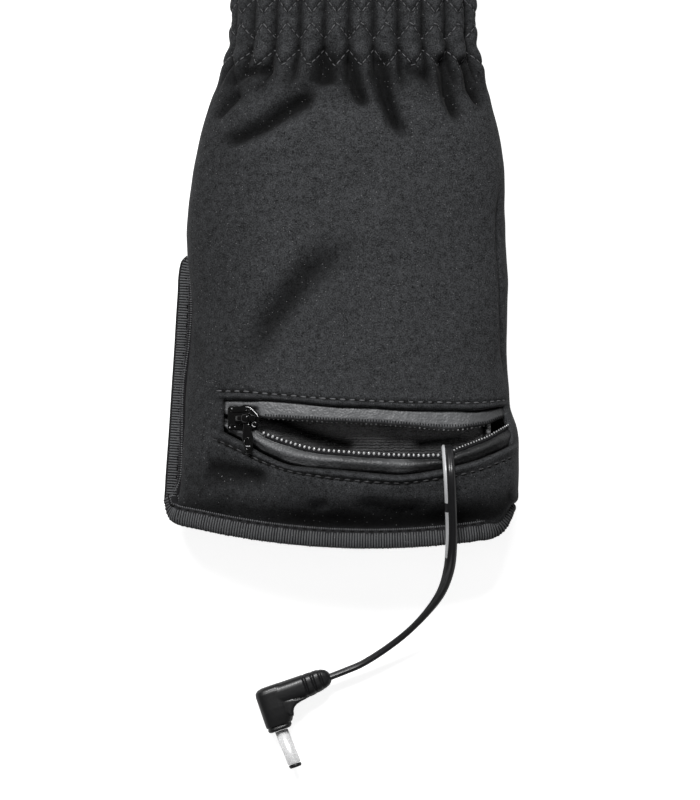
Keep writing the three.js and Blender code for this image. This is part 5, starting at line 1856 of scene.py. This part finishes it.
def makeHand(size):
    parts = [loftRings("palmForm", palmRings(), softshell)]
    parts += [loftRings(f["name"] + "Form", fingerRings(f), softshell) for f in fingers]
    whole = joinAs("handCloth", parts)
    union = whole.modifiers.new("oneForm", "REMESH")
    union.mode = "VOXEL"
    union.voxel_size = size["voxel"] / 1000
    soften = whole.modifiers.new("soften", "SMOOTH")
    soften.iterations = 5
    bake(whole)
    mesh = whole.data
    points, normals = pointsOf(mesh)
    points += normals * handRelief(points, normals)[:, None]
    points[:, 2] = np.maximum(points[:, 2], 0.05)
    mesh.vertices.foreach_set("co", toFrame(points).ravel())
    form = bmesh.new()
    form.from_mesh(mesh)
    below = (size["bottom"] - patternOrigin[1]) / 1000
    bmesh.ops.delete(form, geom=[v for v in form.verts if v.co.y < below], context="VERTS")
    form.to_mesh(mesh)
    form.free()
    mesh.materials.clear()
    mesh.materials.append(softshell)
    mesh.materials.append(fleece)
    shadeSmooth(mesh)
    return whole


def handRelief(points, normals):
    x, y, z = points.T
    left, right, low, high, mid = sections(y)
    up = np.where(z >= mid, (z - mid) / (high - mid), (z - mid) / (mid - low))
    across = (x - (left + right) / 2) / ((right - left) / 2)
    power = np.where(z >= mid, palmPower, backPower) / 2
    angle = np.arctan2(np.sign(up) * np.abs(up) ** power, np.sign(across) * np.abs(across) ** power)
    gathers = 1.1 * ribShape(angle) * (1 - ramp(160, 180, y))
    relief = gathers - hand["tuck"] * (1 - ramp(160, 163.5, y))
    relief += 0.3 * fieldOf(x, y, 71, 30) + 0.12 * fieldOf(x, y, 73, 11)
    seam = np.abs(z - mid)
    relief -= 0.55 * bump(seam, 0.9) * ramp(163, 168, y)
    relief += 0.25 * bump(seam - 2.0, 1.2) * ramp(163, 168, y)
    palmSide = ramp(0.1, 0.5, normals[:, 2])
    for finger in fingers:
        root, length, along, side = fingerLine(finger)
        away = points[:, :2] - root
        near = 1 - ramp(finger["rootWidth"] * 0.5, finger["rootWidth"] * 0.75, np.abs(away @ side))
        for share in (0.36, 0.68):
            # two creases and a swelling where the finger bends
            bend = away @ along - share * length
            crease = -0.8 * bump(bend, 1.6) - 0.45 * bump(bend - 3.6, 1.1) + 0.35 * bump(bend + 3.4, 2.2)
            relief += palmSide * near * crease
    return relief + palmSide * foldRelief(x, y, palmCreases)


palmCreases = [
    {"path": [(30, 205), (18, 214), (2, 212), (-8, 200)], "half": 2.4, "depth": 0.9, "ends": (0.25, 0.4)},
    {"path": [(-36, 226), (-16, 233), (8, 236), (28, 240)], "half": 2.2, "depth": 0.8, "ends": (0.25, 0.4)},
    {"path": [(40, 214), (33, 206), (20, 190)], "half": 2.6, "depth": 1.1, "ends": (0.25, 0.4)},
    {"path": [(46, 206), (36, 197), (28, 184)], "half": 2.2, "depth": 0.8, "ends": (0.25, 0.4)},
    {"path": [(-38, 190), (-26, 186)], "half": 2.4, "depth": 0.7, "ends": (0.25, 0.4)},
    {"path": [(-36, 176), (-22, 178)], "half": 2.2, "depth": 0.7, "ends": (0.25, 0.4)},
]


def levelLines(mesh, level):
    # where a mesh crosses a level surface, as chains of points with their normals
    points, normals = pointsOf(mesh)
    both = np.hstack([points, normals])
    value = level(points)
    crossings, neighbours = {}, {}
    for face in mesh.polygons:
        cut = []
        corners = list(face.vertices)
        for a, b in zip(corners, corners[1:] + corners[:1]):
            if (value[a] > 0) != (value[b] > 0):
                key = (min(a, b), max(a, b))
                t = value[a] / (value[a] - value[b])
                crossings[key] = both[a] + (both[b] - both[a]) * t
                cut.append(key)
        if len(cut) == 2:
            neighbours.setdefault(cut[0], []).append(cut[1])
            neighbours.setdefault(cut[1], []).append(cut[0])
    chains, used = [], set()
    starts = [k for k, v in neighbours.items() if len(v) == 1] + list(neighbours)
    for start in starts:
        if start in used:
            continue
        chain, here = [], start
        while here is not None:
            used.add(here)
            chain.append(crossings[here])
            here = next((n for n in neighbours[here] if n not in used), None)
        if len(chain) > 12:
            chains.append(np.array(chain))
    return chains


def makeHandStitches(glove):
    # a row of stitches above and one below the side seams, and one along the thumb's seam
    root, _, along, side = fingerLine(fingers[0])
    lines = [
        (lambda p, shift=shift: p[:, 2] - sections(p[:, 1])[4] - shift, lambda p: p[:, 1] > 163)
        for shift in (1.5, -1.5)
    ]
    lines.append((lambda p: (p[:, :2] - root) @ along - 44.5, lambda p: (p[:, :2] - root) @ side > -13.2))
    rows = []
    for level, isShown in lines:
        for chain in levelLines(glove.data, level):
            chain = chain[isShown(chain)]
            if len(chain) > 12:
                rows.append((chain[:, :3] - unit(chain[:, 3:]) * 0.1, chain[:, 3:]))
    return rowOf("handStitches", longStitch, rows, stitching["pitch"], threadCloth, 0.08, 81)


handCloth = makeHand(hand)
handStitches = makeHandStitches(handCloth)
handCloth = thicken(handCloth, cloth["wall"], inner=1)
print("hand made:", len(handCloth.data.polygons))

for piece in templates:
    bpy.data.objects.remove(piece, do_unlink=True)

# Every piece rides on a body and stands for the solids that it covers
onGlove = {
    cuffFront: ("softshell", "cuff_front", "wrist_elastic"),
    cuffBack: ("softshell", "cuff_back"),
    handCloth: ("softshell", "palm_panel", "back_panel", *[
        f["name"] + side for f in fingers for side in ("_front", "_back")
    ]),
    cuffStitches: ("softshell",),
    handStitches: ("softshell",),
    hemBinding: ("binding", "hem_binding"),
    ventFront: ("binding", "vent_binding_front"),
    ventBack: ("binding", "vent_binding_back"),
    pocketLining: ("lining", "pocket_lining"),
    upperTape: ("zip_tape", "zip_tape_upper"),
    lowerTape: ("zip_tape", "zip_tape_lower"),
    upperTeeth: ("zip_coil", "zip_coil_upper"),
    lowerTeeth: ("zip_coil", "zip_coil_lower"),
    zipSlider: ("black_metal", "zip_slider"),
    powerLead: ("rubber", "power_lead"),
    plugBody: ("rubber", "plug_body"),
    plugBarrel: ("chrome", "plug_barrel"),
    plugTip: ("rubber", "plug_tip"),
}
for piece, (finish, *nodes) in onGlove.items():
    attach(piece, "glove")
    if nodes:
        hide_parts(*nodes)
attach(zipPuller, "puller")
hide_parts("zip_puller")

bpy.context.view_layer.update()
faces = [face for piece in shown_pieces() if piece.type == "MESH" for face in piece.data.polygons]
print("triangles:", sum(len(face.vertices) - 2 for face in faces))
